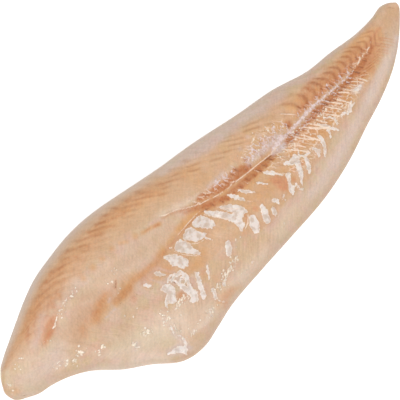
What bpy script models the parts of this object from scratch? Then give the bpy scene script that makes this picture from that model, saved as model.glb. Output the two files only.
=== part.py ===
"""Raw, skinned cod fillet lying on its skin side, with the bone side up.

The fillet is one solid of flesh, so the model is one object. It is a loft between unlike
sections: thick and round along the back, hollow over the belly cavity, thin at the belly
edge and at the tail. Each section follows a muscle flake, so it runs across the fillet in
the W shape of a septum, and the flakes stand up between the sections as low relief.

The head is at -X, the tail at +X, the back at +Y and the belly at -Y. Tables are in
millimetres, and the origin is in the middle of the fillet's box, on the surface that it
lies on.
"""

import math

import bmesh
import bpy
import numpy as np

MM = 0.001  # metres in a millimetre

# Driving dimensions, in millimetres
LENGTH = 380.0
HEAD = -LENGTH / 2
TAIL = LENGTH / 2
LOIN_THICKNESS = 28.0

# Outline seen from above: x, y of the belly edge, y of the back edge
OUTLINE = (
    (HEAD, 6.6, 12.6),
    (-187.5, 4.1, 18.4),
    (-183.0, 1.4, 24.6),
    (-176.0, -2.3, 29.4),
    (-166.0, -4.6, 34.4),
    (-156.0, -8.2, 39.4),
    (-142.0, -16.4, 46.2),
    (-128.0, -29.7, 51.6),
    (-112.0, -41.4, 54.8),
    (-98.0, -53.4, 56.8),
    (-80.0, -57.6, 57.4),
    (-66.0, -55.2, 56.1),
    (-52.0, -52.2, 53.6),
    (-18.0, -49.6, 47.5),
    (10.0, -48.5, 43.8),
    (51.0, -46.0, 36.1),
    (79.0, -40.6, 31.6),
    (107.0, -32.2, 23.8),
    (127.0, -26.6, 22.1),
    (155.0, -15.3, 18.6),
    (169.0, -6.8, 18.9),
    (182.0, 3.3, 20.2),
    (187.0, 7.6, 18.0),
    (TAIL, 10.6, 15.1),
)

# Height of the loin's crest over the board, as a share of LOIN_THICKNESS
CREST = (
    (HEAD, 0.34),
    (-184.0, 0.52),
    (-172.0, 0.68),
    (-150.0, 0.83),
    (-115.0, 0.96),
    (-80.0, 1.0),
    (-40.0, 0.96),
    (10.0, 0.82),
    (60.0, 0.64),
    (105.0, 0.46),
    (145.0, 0.29),
    (172.0, 0.19),
    (TAIL, 0.11),
)

# Lines that run along the fillet, as shares of the way from the belly edge to the back edge
BELLY_FLEXURE = ((HEAD, 0.25), (-110.0, 0.25), (0.0, 0.30), (60.0, 0.34), (TAIL, 0.38))
CAVITY_EDGE = (
    (HEAD, 0.36),
    (-113.0, 0.42),
    (-75.0, 0.50),
    (-18.0, 0.54),
    (5.0, 0.51),
    (TAIL, 0.50),
)
BACKBONE = (
    (HEAD, 0.45),
    (-150.0, 0.50),
    (-137.0, 0.58),
    (-115.0, 0.68),
    (-90.0, 0.72),
    (-60.0, 0.685),
    (-38.0, 0.65),
    (-18.0, 0.59),
    (0.0, 0.55),
    (42.0, 0.545),
    (100.0, 0.60),
    (125.0, 0.57),
    (150.0, 0.61),
    (TAIL, 0.64),
)
BACK_FLEXURE = 0.79

# Height of the surface across the fillet, as a share of the crest. The head end is full, the
# flesh over the belly cavity slopes from the loin's edge down to a thin flap, and behind the
# cavity both sides of the backbone are full.
HEAD_SECTION = (
    (0.00, 0.25),
    (0.10, 0.42),
    (0.25, 0.60),
    (0.42, 0.77),
    (0.58, 0.91),
    (0.74, 1.00),
    (0.88, 0.95),
    (1.00, 0.70),
)
CAVITY_SECTION = (
    (0.00, 0.20),
    (0.08, 0.27),
    (0.20, 0.32),
    (0.32, 0.40),
    (0.42, 0.52),
    (0.49, 0.66),
    (0.54, 0.82),
    (0.64, 0.93),
    (0.78, 1.00),
    (0.90, 0.95),
    (1.00, 0.72),
)
TAIL_SECTION = (
    (0.00, 0.25),
    (0.10, 0.42),
    (0.26, 0.66),
    (0.44, 0.80),
    (0.58, 0.82),
    (0.75, 1.00),
    (0.88, 0.90),
    (1.00, 0.62),
)
CAVITY_STARTS = (-150.0, -95.0)  # the hollow comes in between these
CAVITY_ENDS = (-35.0, 35.0)  # and runs out between these

# Edges: a corner is rounded over this share of its height, within the widths given
ROUND_SHARE = 1.0
BELLY_ROUND = (0.8, 4.0)
BACK_ROUND = (1.5, 13.0)
WIDEST_HEIGHT_SHARE = 0.42  # the outline is widest at this share of the edge's height
UNDERCUT = 2.2  # how far the skin side tucks in below the widest line
NARROW_SHARE = 0.24  # a corner takes at most this share of the width

# Backbone groove
GROOVE_DEPTH = 1.3
GROOVE_WIDTH = 3.0
GROOVE_STARTS = (-40.0, 5.0)  # it fades in between these
GROOVE_ENDS = (120.0, 172.0)  # and out between these

# Muscle flakes
FLAKE_SPACING = (
    (HEAD, 12.5),
    (-130.0, 12.5),
    (-100.0, 9.2),
    (-40.0, 8.3),
    (10.0, 9.6),
    (60.0, 8.6),
    (105.0, 6.1),
    (150.0, 5.6),
    (TAIL, 4.8),
)
SECTIONS_A_FLAKE = 3
FLAKE_RELIEF = 0.45  # height of a flake over its septum in the brown flesh by the backbone
CAVITY_RELIEF_SHARE = 0.5
BACK_RELIEF_SHARE = 0.6
BACK_EDGE_RELIEF_SHARE = 0.3
LOIN_RELIEF_SHARE = 0.15
# How far a septum runs towards the tail at each line, from belly edge to back edge
SEPTUM_SHIFT = (-7.0, 17.0, 1.0, 0.0, 6.0, -22.0)
SHIFT_FADES = (80.0, 60.0)  # the W flattens over this length at the head and at the tail
# Between which lines the relief comes in or runs out: 1 is the belly flexure, 3 the backbone
BELLY_RELIEF_STARTS = (0.6, 1.2)
BELLY_RELIEF_ENDS = (2.8, 3.2)
LOIN_STARTS = (1.8, 2.2)  # over the cavity the loin's smooth flesh begins here
LOIN_ENDS = (3.0, 3.6)
BACK_RELIEF_STARTS = (3.0, 3.8)
BACK_RELIEF_ENDS = (4.6, 5.0)
CALM_HEIGHT = 14.0  # flesh thinner than this has less relief

# Broad unevenness of the soft flesh: height, wave along, wave across, place
SWELLS = (
    (0.7, 61.0, 47.0, 0.4),
    (0.5, 34.0, 38.0, 2.1),
    (0.3, 19.0, 23.0, 4.0),
)

# Sections and points across
HEAD_SECTIONS = (0.0, 0.7, 2.0, 4.0, 6.5, 9.5, 13.0)  # behind the head's end
TAIL_SECTIONS = (11.0, 8.0, 5.5, 3.5, 1.8, 0.6, 0.0)  # before the tail's end
END_GAP = 1.5  # least space between these and the sections that follow the flakes
CORNER_STEPS = 4
UNDER_STEPS = 2
STRIP_STEPS = (5, 6, 5, 4, 4)  # between belly edge, three lines, back flexure and back edge

SHARP_EDGE = math.radians(40)
FLESH = (0.66, 0.45, 0.30)  # pale raw cod, linear
FLESH_ROUGHNESS = 0.35


def smooth_curve(table, x, column=1):
    """The value at x of a smooth curve through a table's points."""
    xs = np.array([row[0] for row in table])
    ys = np.array([row[column] for row in table])
    steps = np.diff(xs)
    slopes = np.diff(ys) / steps
    inner = (slopes[:-1] * steps[1:] + slopes[1:] * steps[:-1]) / (steps[:-1] + steps[1:])
    tangents = np.concatenate([slopes[:1], inner, slopes[-1:]])
    x = float(np.clip(x, xs[0], xs[-1]))
    i = int(np.clip(np.searchsorted(xs, x) - 1, 0, len(steps) - 1))
    t = (x - xs[i]) / steps[i]
    return float(
        ys[i] * (1 + 2 * t) * (1 - t) ** 2
        + tangents[i] * steps[i] * t * (1 - t) ** 2
        + ys[i + 1] * t * t * (3 - 2 * t)
        - tangents[i + 1] * steps[i] * t * t * (1 - t)
    )


def ease(x, start, end):
    """0 before start, 1 after end, and smooth between."""
    t = min(max((x - start) / (end - start), 0.0), 1.0)
    return t * t * (3 - 2 * t)


def flake_starts():
    """The x of each septum's line at the backbone, from head to tail."""
    found = [HEAD]
    while found[-1] < TAIL:
        found.append(found[-1] + smooth_curve(FLAKE_SPACING, found[-1]))
    return found


def section_places():
    """(x at the backbone, height of the flake there from -1 to 0.5) for each section."""
    first = HEAD + HEAD_SECTIONS[-1]
    last = TAIL - TAIL_SECTIONS[0]
    places = [(HEAD + step, 0.0) for step in HEAD_SECTIONS]
    septa = flake_starts()
    for start, end in zip(septa, septa[1:]):
        for i in range(SECTIONS_A_FLAKE):
            x = start + (end - start) * i / SECTIONS_A_FLAKE
            if first + END_GAP < x < last - END_GAP:
                places.append((x, math.cos(2 * math.pi * i / SECTIONS_A_FLAKE) * -1.0))
    places += [(TAIL - step, 0.0) for step in TAIL_SECTIONS]
    return places


def lines_at(x):
    """The shares across of the belly edge, the lines along the fillet and the back edge."""
    return (
        0.0,
        smooth_curve(BELLY_FLEXURE, x),
        smooth_curve(CAVITY_EDGE, x),
        smooth_curve(BACKBONE, x),
        BACK_FLEXURE,
        1.0,
    )


def septum_x(backbone_x, line):
    """x of a septum where it crosses a line, which may be a fraction such as 2.5."""
    shift = float(np.interp(line, range(len(SEPTUM_SHIFT)), SEPTUM_SHIFT))
    fade = ease(backbone_x, HEAD, HEAD + SHIFT_FADES[0])
    fade *= 1 - ease(backbone_x, TAIL - SHIFT_FADES[1], TAIL)
    return backbone_x + shift * fade


def cavity_share(x):
    """1 where the fillet is hollow over the belly cavity, 0 where it is full."""
    return ease(x, *CAVITY_STARTS) * (1 - ease(x, *CAVITY_ENDS))


def relief_share(x, line):
    """How strongly the flakes stand up at a line: most in the flesh under the backbone."""
    cavity = cavity_share(x)
    under = ease(line, *BELLY_RELIEF_STARTS) * (1 - ease(line, *BELLY_RELIEF_ENDS))
    under *= 1 - (1 - CAVITY_RELIEF_SHARE) * cavity
    loin = ease(line, *LOIN_STARTS) * (1 - ease(line, *LOIN_ENDS)) * cavity
    back = ease(line, *BACK_RELIEF_STARTS)
    edge = ease(line, *BACK_RELIEF_ENDS)
    back *= BACK_RELIEF_SHARE * (1 - edge) + BACK_EDGE_RELIEF_SHARE * edge
    return max(under * (1 - loin), back, LOIN_RELIEF_SHARE)


def groove_depth(x, from_backbone):
    """Depth of the groove where the backbone lay, at a distance across from it."""
    there = ease(x, *GROOVE_STARTS) * (1 - ease(x, *GROOVE_ENDS))
    return GROOVE_DEPTH * there * math.exp(-((from_backbone / GROOVE_WIDTH) ** 2))


def swell(x, y):
    """Broad unevenness of the soft flesh."""
    return sum(
        height * math.sin(2 * math.pi * x / along + place) * math.cos(2 * math.pi * y / across)
        for height, along, across, place in SWELLS
    )


def full_height(x, share):
    """Height of the top surface before its corners are rounded and its flakes added."""
    before, behind = 1 - ease(x, *CAVITY_STARTS), ease(x, *CAVITY_ENDS)
    profile = before * smooth_curve(HEAD_SECTION, share)
    profile += behind * smooth_curve(TAIL_SECTION, share)
    profile += (1 - before - behind) * smooth_curve(CAVITY_SECTION, share)
    return profile * smooth_curve(CREST, x) * LOIN_THICKNESS


def corner_width(edge_height, limits, width):
    """How far in from an edge its corner is rounded."""
    wanted = min(max(edge_height * ROUND_SHARE, limits[0]), limits[1])
    return min(wanted, NARROW_SHARE * width)


def top_point(backbone_x, line):
    """Where a section meets a line: x, y of both edges there, and the share across."""
    x = septum_x(backbone_x, line)
    belly_y, back_y = smooth_curve(OUTLINE, x, 1), smooth_curve(OUTLINE, x, 2)
    share = float(np.interp(line, range(6), lines_at(x)))
    return x, belly_y, back_y, share


def surface_height(x, y, share, line, flake_height):
    """Height of the finished top surface away from its corners."""
    belly_y, back_y = smooth_curve(OUTLINE, x, 1), smooth_curve(OUTLINE, x, 2)
    backbone_y = belly_y + lines_at(x)[3] * (back_y - belly_y)
    height = full_height(x, share)
    calm = min(1.0, height / CALM_HEIGHT)
    height += swell(x, y) * calm
    height += FLAKE_RELIEF * relief_share(x, line) * flake_height * calm
    return height - groove_depth(x, y - backbone_y)


def section(backbone_x, flake_height):
    """One closed section of the fillet: over the top from belly to back, then underneath."""
    ring = []
    lines = [0.0]
    for strip, steps in enumerate(STRIP_STEPS):
        lines += [strip + (i + 1) / steps for i in range(steps)]
    belly_x, back_x = septum_x(backbone_x, 0.0), septum_x(backbone_x, 5.0)
    corners = {}
    for name, x, share in (("belly", belly_x, 0.0), ("back", back_x, 1.0)):
        width = smooth_curve(OUTLINE, x, 2) - smooth_curve(OUTLINE, x, 1)
        edge_height = full_height(x, share)
        limits = BELLY_ROUND if name == "belly" else BACK_ROUND
        corners[name] = (corner_width(edge_height, limits, width), edge_height)

    def rounded(name, x, step, under):
        """A point on a corner: step 0 is the widest line, and the last is where it ends."""
        reach, edge_height = corners[name]
        middle = WIDEST_HEIGHT_SHARE * edge_height
        last = UNDER_STEPS if under else CORNER_STEPS
        angle = math.pi / 2 * step / last
        inset = (min(UNDERCUT, middle, reach) if under else reach) * (1 - math.cos(angle))
        belly_y, back_y = smooth_curve(OUTLINE, x, 1), smooth_curve(OUTLINE, x, 2)
        y = belly_y + inset if name == "belly" else back_y - inset
        if under:
            return (x, y, middle * (1 - math.sin(angle)))
        share = (y - belly_y) / (back_y - belly_y)
        line = 0.0 if name == "belly" else 5.0
        top = surface_height(x, y, share, line, flake_height)
        return (x, y, middle + (top - middle) * math.sin(angle))

    ring += [rounded("belly", belly_x, step, False) for step in range(CORNER_STEPS + 1)]
    for line in lines[1:-1]:
        x, belly_y, back_y, share = top_point(backbone_x, line)
        low = belly_y + corners["belly"][0]
        high = back_y - corners["back"][0]
        y = low + share * (high - low)
        share = (y - belly_y) / (back_y - belly_y)
        ring.append((x, y, surface_height(x, y, share, line, flake_height)))
    ring += [rounded("back", back_x, step, False) for step in range(CORNER_STEPS, -1, -1)]
    ring += [rounded("back", back_x, step, True) for step in range(1, UNDER_STEPS + 1)]
    ring += [rounded("belly", belly_x, step, True) for step in range(UNDER_STEPS, 0, -1)]
    return ring


def fillet_mesh():
    """The loft through every section, closed at the head's cut end and at the tail."""
    build = bmesh.new()
    rings = [
        [build.verts.new([value * MM for value in point]) for point in section(x, height)]
        for x, height in section_places()
    ]
    for ring, following in zip(rings, rings[1:]):
        for i in range(len(ring)):
            j = (i + 1) % len(ring)
            build.faces.new((ring[i], ring[j], following[j], following[i]))
    ends = [build.faces.new(reversed(rings[0])), build.faces.new(rings[-1])]
    bmesh.ops.poke(build, faces=ends)
    bmesh.ops.recalc_face_normals(build, faces=build.faces)
    mesh = bpy.data.meshes.new("fillet")
    build.to_mesh(mesh)
    build.free()
    mesh.shade_smooth()
    mesh.set_sharp_from_angle(angle=SHARP_EDGE)
    return mesh


def flesh_material():
    """Wet, pale raw fish."""
    material = bpy.data.materials.new("cod_flesh")
    material.use_nodes = True
    shader = material.node_tree.nodes["Principled BSDF"]
    shader.inputs["Base Color"].default_value = (*FLESH, 1.0)
    shader.inputs["Roughness"].default_value = FLESH_ROUGHNESS
    shader.inputs["Metallic"].default_value = 0.0
    return material


def main():
    """Clears the scene and puts the fillet in it."""
    for obj in list(bpy.data.objects):
        bpy.data.objects.remove(obj)
    parts = bpy.data.collections.new("cod_fillet")
    bpy.context.scene.collection.children.link(parts)
    fillet = bpy.data.objects.new("fillet", fillet_mesh())
    fillet.data.materials.append(flesh_material())
    parts.objects.link(fillet)


main()
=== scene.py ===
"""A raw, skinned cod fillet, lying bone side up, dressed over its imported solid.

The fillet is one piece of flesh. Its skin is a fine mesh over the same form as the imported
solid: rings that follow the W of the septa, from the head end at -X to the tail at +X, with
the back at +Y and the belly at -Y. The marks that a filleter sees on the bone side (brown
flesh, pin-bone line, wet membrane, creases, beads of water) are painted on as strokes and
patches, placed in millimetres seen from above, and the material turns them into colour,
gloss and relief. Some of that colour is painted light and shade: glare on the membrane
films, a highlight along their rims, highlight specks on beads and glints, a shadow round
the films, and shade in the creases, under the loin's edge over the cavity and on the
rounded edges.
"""

import logging
import math
import random
from dataclasses import dataclass
from enum import Enum

import bpy
import numpy as np
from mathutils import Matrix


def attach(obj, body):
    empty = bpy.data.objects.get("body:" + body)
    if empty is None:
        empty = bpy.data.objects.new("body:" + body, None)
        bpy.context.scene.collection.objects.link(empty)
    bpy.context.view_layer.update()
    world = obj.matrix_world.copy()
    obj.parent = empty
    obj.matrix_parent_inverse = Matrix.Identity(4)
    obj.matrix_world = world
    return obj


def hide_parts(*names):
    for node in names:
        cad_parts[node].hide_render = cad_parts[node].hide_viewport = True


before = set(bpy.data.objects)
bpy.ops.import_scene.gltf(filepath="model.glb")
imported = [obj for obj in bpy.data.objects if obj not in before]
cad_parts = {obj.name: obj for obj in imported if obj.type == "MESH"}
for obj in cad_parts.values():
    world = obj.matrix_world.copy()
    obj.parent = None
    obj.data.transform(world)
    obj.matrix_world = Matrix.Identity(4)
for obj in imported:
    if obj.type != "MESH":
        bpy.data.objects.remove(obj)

LOG = logging.getLogger("cod_fillet")
MM = 0.001  # metres in a millimetre
HEAD = -190.0
TAIL = 190.0

Socket = bpy.types.NodeSocket
Point = tuple[float, ...]
Path = tuple[Point, ...]
Cluster = tuple[int, Point, Point]
Colour = tuple[float, float, float]
Column = tuple[np.ndarray, ...]


def ease(value: np.ndarray, start: float, end: float) -> np.ndarray:
    """Rises smoothly from 0 to 1 between two values.

    Args:
        value: The values to read.
        start: Where the rise begins.
        end: Where it is complete.

    Returns:
        0 before start, 1 after end, and a smooth step between.
    """
    t = np.clip((np.asarray(value, float) - start) / (end - start), 0.0, 1.0)
    return t * t * (3 - 2 * t)


def hill(value: np.ndarray, start: float, top: float, end_top: float, end: float) -> np.ndarray:
    """Rises from 0 to 1 between the first two places and falls again between the last two."""
    return ease(value, start, top) * (1 - ease(value, end_top, end))


@dataclass(frozen=True)
class SmoothCurve:
    """A smooth curve through a few points (place, value)."""

    points: Path

    def at(self, place: np.ndarray) -> np.ndarray:
        """Reads the curve.

        Args:
            place: Places along the curve, in an array of any shape.

        Returns:
            The values there.
        """
        xs, ys = np.array(self.points).T
        steps = np.diff(xs)
        slopes = np.diff(ys) / steps
        inner = (slopes[:-1] * steps[1:] + slopes[1:] * steps[:-1]) / (steps[:-1] + steps[1:])
        tangents = np.concatenate([slopes[:1], inner, slopes[-1:]])
        place = np.clip(place, xs[0], xs[-1])
        i = np.clip(np.searchsorted(xs, place) - 1, 0, len(steps) - 1)
        t = (place - xs[i]) / steps[i]
        return (
            ys[i] * (1 + 2 * t) * (1 - t) ** 2
            + tangents[i] * steps[i] * t * (1 - t) ** 2
            + ys[i + 1] * t * t * (3 - 2 * t)
            - tangents[i + 1] * steps[i] * t * t * (1 - t)
        )


def curve(*points: Point) -> SmoothCurve:
    """A smooth curve through points (place, value)."""
    return SmoothCurve(points)


# ---------------------------------------------------------------- form, as in the solid

# Outline seen from above: x, y of the belly edge, y of the back edge, in millimetres
OUTLINE = (
    (HEAD, 6.6, 12.6), (-187.5, 4.1, 18.4), (-183.0, 1.4, 24.6), (-176.0, -2.3, 29.4),
    (-166.0, -4.6, 34.4), (-156.0, -8.2, 39.4), (-142.0, -16.4, 46.2), (-128.0, -29.7, 51.6),
    (-112.0, -41.4, 54.8), (-98.0, -53.4, 56.8), (-80.0, -57.6, 57.4), (-66.0, -55.2, 56.1),
    (-52.0, -52.2, 53.6), (-18.0, -49.6, 47.5), (10.0, -48.5, 43.8), (51.0, -46.0, 36.1),
    (79.0, -40.6, 31.6), (107.0, -32.2, 23.8), (127.0, -26.6, 22.1), (155.0, -15.3, 18.6),
    (169.0, -6.8, 18.9), (182.0, 3.3, 20.2), (187.0, 7.6, 18.0), (TAIL, 10.6, 15.1),
)  # fmt: skip
BELLY_OUTLINE = curve(*((x, belly) for x, belly, _ in OUTLINE))
BACK_OUTLINE = curve(*((x, back) for x, _, back in OUTLINE))

# Height of the loin's crest over the board, as a share of the loin's thickness
CREST = curve(
    (HEAD, 0.34), (-184.0, 0.52), (-172.0, 0.68), (-150.0, 0.83), (-115.0, 0.96), (-80.0, 1.0),
    (-40.0, 0.96), (10.0, 0.82), (60.0, 0.64), (105.0, 0.46), (145.0, 0.29), (172.0, 0.19),
    (TAIL, 0.11),
)  # fmt: skip

# Lines that run along the fillet, as shares of the way from the belly edge to the back edge
BELLY_FLEXURE = curve((HEAD, 0.25), (-110.0, 0.25), (0.0, 0.30), (60.0, 0.34), (TAIL, 0.38))
CAVITY_EDGE = curve(
    (HEAD, 0.36), (-113.0, 0.42), (-75.0, 0.50), (-18.0, 0.54), (5.0, 0.51), (TAIL, 0.50),
)  # fmt: skip
BACKBONE = curve(
    (HEAD, 0.45), (-150.0, 0.50), (-137.0, 0.58), (-115.0, 0.68), (-90.0, 0.72), (-60.0, 0.685),
    (-38.0, 0.65), (-18.0, 0.59), (0.0, 0.55), (42.0, 0.545), (100.0, 0.60), (125.0, 0.57),
    (150.0, 0.61), (TAIL, 0.64),
)  # fmt: skip
BACK_FLEXURE = 0.79

# Height across the fillet, as a share of the crest: at the head, over the cavity, behind it
HEAD_SECTION = curve(
    (0.00, 0.25), (0.10, 0.42), (0.25, 0.60), (0.42, 0.77), (0.58, 0.91), (0.74, 1.00),
    (0.88, 0.95), (1.00, 0.70),
)  # fmt: skip
CAVITY_SECTION = curve(
    (0.00, 0.20), (0.08, 0.27), (0.20, 0.32), (0.32, 0.40), (0.42, 0.52), (0.49, 0.66),
    (0.54, 0.82), (0.64, 0.93), (0.78, 1.00), (0.90, 0.95), (1.00, 0.72),
)  # fmt: skip
TAIL_SECTION = curve(
    (0.00, 0.25), (0.10, 0.42), (0.26, 0.66), (0.44, 0.80), (0.58, 0.82), (0.75, 1.00),
    (0.88, 0.90), (1.00, 0.62),
)  # fmt: skip
FLAKE_SPACING = curve(
    (HEAD, 12.5), (-130.0, 12.5), (-100.0, 9.2), (-40.0, 8.3), (10.0, 9.6), (60.0, 8.6),
    (105.0, 6.1), (150.0, 5.6), (TAIL, 4.8),
)  # fmt: skip


@dataclass(frozen=True)
class FilletForm:
    """The shape of the fillet, in millimetres, read for whole arrays of points."""

    thickness: float = 28.0
    cavity_starts: tuple[float, float] = (-150.0, -95.0)
    cavity_ends: tuple[float, float] = (-35.0, 35.0)
    belly_round: tuple[float, float] = (0.8, 4.0)
    back_round: tuple[float, float] = (1.5, 13.0)
    widest_share: float = 0.42
    undercut: float = 2.2
    narrow_share: float = 0.24
    groove_depth: float = 1.3
    groove_width: float = 3.0
    groove_starts: tuple[float, float] = (-40.0, 5.0)
    groove_ends: tuple[float, float] = (120.0, 172.0)
    flake_relief: float = 0.42
    flake_crown: float = 0.45
    septum_drop: float = 1.2
    septum_width: float = 1.3
    cavity_relief: float = 0.12
    back_relief: float = 0.18
    back_edge_relief: float = 0.1
    loin_relief: float = 0.04
    belly_lines: tuple[float, float, float, float] = (0.6, 1.2, 2.8, 3.2)
    loin_lines: tuple[float, float, float, float] = (1.8, 2.2, 3.0, 3.6)
    back_lines: tuple[float, float] = (3.0, 3.8)
    back_edge_lines: tuple[float, float] = (4.6, 5.0)
    calm_height: float = 14.0
    septum_shift: tuple[float, ...] = (-7.0, 17.0, 1.0, 0.0, 6.0, -22.0)
    flexure_round: float = 0.22
    flexure_steps: int = 7
    drawn_loin: tuple[Point, ...] = (
        (0, -7), (1, 17), (2, 1), (3, 0), (4, 6), (5, -28), (5.3, -46)
    )
    drawn_tail: tuple[Point, ...] = (
        (0, -7), (1, 17), (2, 1), (3, 0), (4.35, 7), (5, 0), (5.3, -6)
    )
    tail_pattern: tuple[float, float] = (30.0, 95.0)
    head_fade: float = 80.0
    tail_fade: float = 60.0
    swells: tuple[Point, ...] = (
        (0.7, 61.0, 47.0, 0.4),
        (0.5, 34.0, 38.0, 2.1),
        (0.3, 19.0, 23.0, 4.0),
    )

    def septa(self) -> np.ndarray:
        """The x of each septum at the backbone, from head to tail."""
        found = [HEAD]
        while found[-1] < TAIL:
            found.append(found[-1] + float(FLAKE_SPACING.at(np.array(found[-1]))))
        return np.array(found)

    def flake_number(self, backbone_x: np.ndarray) -> np.ndarray:
        """Counts flakes from the head: a whole number on each septum."""
        septa = self.septa()
        return np.interp(backbone_x, septa, np.arange(len(septa)))

    def bent(self, line: np.ndarray, bends: tuple[Point, ...]) -> np.ndarray:
        """Follows a zigzag with rounded bends.

        Args:
            line: The lines to read it at.
            bends: Each bend's line, and how far the septum has shifted along the fillet there.

        Returns:
            The shifts.
        """
        turns = np.linspace(-self.flexure_round, self.flexure_round, self.flexure_steps)
        places, shifts = zip(*bends)
        return sum(np.interp(line + turn, places, shifts) for turn in turns) / len(turns)

    def septum_x(self, backbone_x: np.ndarray, line: np.ndarray) -> np.ndarray:
        """Follows a septum across the fillet.

        Args:
            backbone_x: Where the septum meets the backbone.
            line: The line it is followed to, 0 at the belly edge to 5 at the back edge.

        Returns:
            x where the septum crosses that line.
        """
        fade = hill(backbone_x, HEAD, HEAD + self.head_fade, TAIL - self.tail_fade, TAIL)
        return backbone_x + self.bent(line, tuple(enumerate(self.septum_shift))) * fade

    def drawn_number(self, x: np.ndarray, line: np.ndarray) -> np.ndarray:
        """Counts the drawn flakes, whose septa lean less towards the tail.

        Args:
            x: Places along the fillet.
            line: The lines that they lie on.

        Returns:
            The number of the flake, a whole number on each drawn septum.
        """
        loin, tail = self.bent(line, self.drawn_loin), self.bent(line, self.drawn_tail)
        return self.flake_number(x - loin - (tail - loin) * ease(x, *self.tail_pattern))

    def share_across(self, x: np.ndarray, line: np.ndarray) -> np.ndarray:
        """Turns lines into shares of the way across.

        Args:
            x: Places along the fillet.
            line: Lines.

        Returns:
            Shares of the way from the belly edge to the back edge.
        """
        lines = (
            np.zeros_like(x),
            BELLY_FLEXURE.at(x),
            CAVITY_EDGE.at(x),
            BACKBONE.at(x),
            np.full_like(x, BACK_FLEXURE),
            np.ones_like(x),
        )
        steps = enumerate(zip(lines, lines[1:]))
        return sum(np.clip(line - i, 0.0, 1.0) * (after - before) for i, (before, after) in steps)

    def cavity_share(self, x: np.ndarray) -> np.ndarray:
        """1 where the fillet is hollow over the belly cavity, 0 where it is full."""
        return hill(x, *self.cavity_starts, *self.cavity_ends)

    def relief_share(self, x: np.ndarray, line: np.ndarray) -> np.ndarray:
        """How strongly the flakes stand up.

        Args:
            x: Places along the fillet.
            line: The lines that they lie on.

        Returns:
            Shares of the full relief, from 0 to 1.
        """
        cavity = self.cavity_share(x)
        belly = hill(line, *self.belly_lines) * (1 - (1 - self.cavity_relief) * cavity)
        loin = hill(line, *self.loin_lines) * cavity
        edge = ease(line, *self.back_edge_lines)
        back = self.back_relief * (1 - edge) + self.back_edge_relief * edge
        back = ease(line, *self.back_lines) * back
        return np.maximum(np.maximum(belly * (1 - loin), back), self.loin_relief)

    def flake_height(self, backbone_x: np.ndarray) -> np.ndarray:
        """Height of a flake's surface: flake_crown between two septa, less on them.

        Args:
            backbone_x: Where its ring meets the backbone.

        Returns:
            Heights, as shares of the flake relief.
        """
        number = self.flake_number(backbone_x)
        off = np.abs(number - np.round(number)) * FLAKE_SPACING.at(backbone_x)
        return self.flake_crown - self.septum_drop * np.exp(-((off / self.septum_width) ** 2))

    def full_height(self, x: np.ndarray, share: np.ndarray) -> np.ndarray:
        """Height of the top before its corners are rounded and its flakes are added.

        Args:
            x: Places along the fillet.
            share: Places across it, as shares of its width.

        Returns:
            Heights over the board, in millimetres.
        """
        before = 1 - ease(x, *self.cavity_starts)
        behind = ease(x, *self.cavity_ends)
        profile = before * HEAD_SECTION.at(share) + behind * TAIL_SECTION.at(share)
        profile = profile + (1 - before - behind) * CAVITY_SECTION.at(share)
        return profile * CREST.at(x) * self.thickness

    def surface_height(
        self, x: np.ndarray, y: np.ndarray, share: np.ndarray, line: np.ndarray, flake: np.ndarray
    ) -> np.ndarray:
        """Height of the finished top surface away from its corners.

        Args:
            x: Places along the fillet.
            y: Places across it.
            share: The same places across, as shares of the width.
            line: The lines that they lie on.
            flake: Height of the flake there, from flake_height.

        Returns:
            Heights over the board.
        """
        belly_y, back_y = BELLY_OUTLINE.at(x), BACK_OUTLINE.at(x)
        from_backbone = y - belly_y - BACKBONE.at(x) * (back_y - belly_y)
        height = self.full_height(x, share)
        calm = np.minimum(1.0, height / self.calm_height)
        for rise, along, across, place in self.swells:
            wave = np.sin(2 * math.pi * x / along + place) * np.cos(2 * math.pi * y / across)
            height = height + rise * wave * calm
        height = height + self.flake_relief * self.relief_share(x, line) * flake * calm
        there = hill(x, *self.groove_starts, *self.groove_ends)
        groove = there * np.exp(-((from_backbone / self.groove_width) ** 2))
        return height - self.groove_depth * groove

    def corner(
        self, x: np.ndarray, share: float, limits: tuple[float, float]
    ) -> tuple[np.ndarray, np.ndarray]:
        """Sizes of a rounded edge.

        Args:
            x: Places along the fillet.
            share: 0 for the belly edge, 1 for the back edge.
            limits: Least and greatest width of the rounding.

        Returns:
            How far in from the outline the corner reaches, and the edge's height.
        """
        width = BACK_OUTLINE.at(x) - BELLY_OUTLINE.at(x)
        height = self.full_height(x, np.full_like(x, share))
        return np.minimum(np.clip(height, *limits), self.narrow_share * width), height


# ---------------------------------------------------------------- marks on the bone side


class Mark(Enum):
    """What a stroke leaves on the flesh. The value is the mesh attribute that holds it."""

    PALE = "pale_flesh"
    TAN = "tan_flesh"
    OCHRE = "ochre_flesh"
    RUST = "rust_stain"
    BROWN = "brown_flesh"
    GREEN = "green_tint"
    LILAC = "lilac_tint"
    STRIPE = "flake_stripes"
    GRAIN = "fibre_grain"
    # beads of water, painted as highlight specks
    BEAD_GLINTS = "water_bead_glints"
    WEB = "cream_web"
    # membrane films: their own pale colour with painted glare over it
    FILM_AND_GLARE = "wet_film_and_glare"
    MEMBRANE = "bone_membrane"
    CREAM = "cream_line"
    # painted highlight specks
    GLINT = "wet_glint"
    # sunk lines darkened with painted shade: creases, gaps and the cores of flecks
    CREASE = "shaded_crease"


(
    PALE, TAN, OCHRE, RUST, BROWN, GREEN, LILAC, STRIPE, GRAIN, BEAD_GLINTS, WEB,
    FILM_AND_GLARE, MEMBRANE, CREAM, GLINT, CREASE,
) = Mark  # fmt: skip
CRISP_REACH = 3.0  # how far a crisp mark's distance is kept, in millimetres
CRISP_HEIGHTS = {FILM_AND_GLARE: 0.16, MEMBRANE: 0.25, CREAM: 0.16, GLINT: 0.25, CREASE: -0.35}


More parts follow.
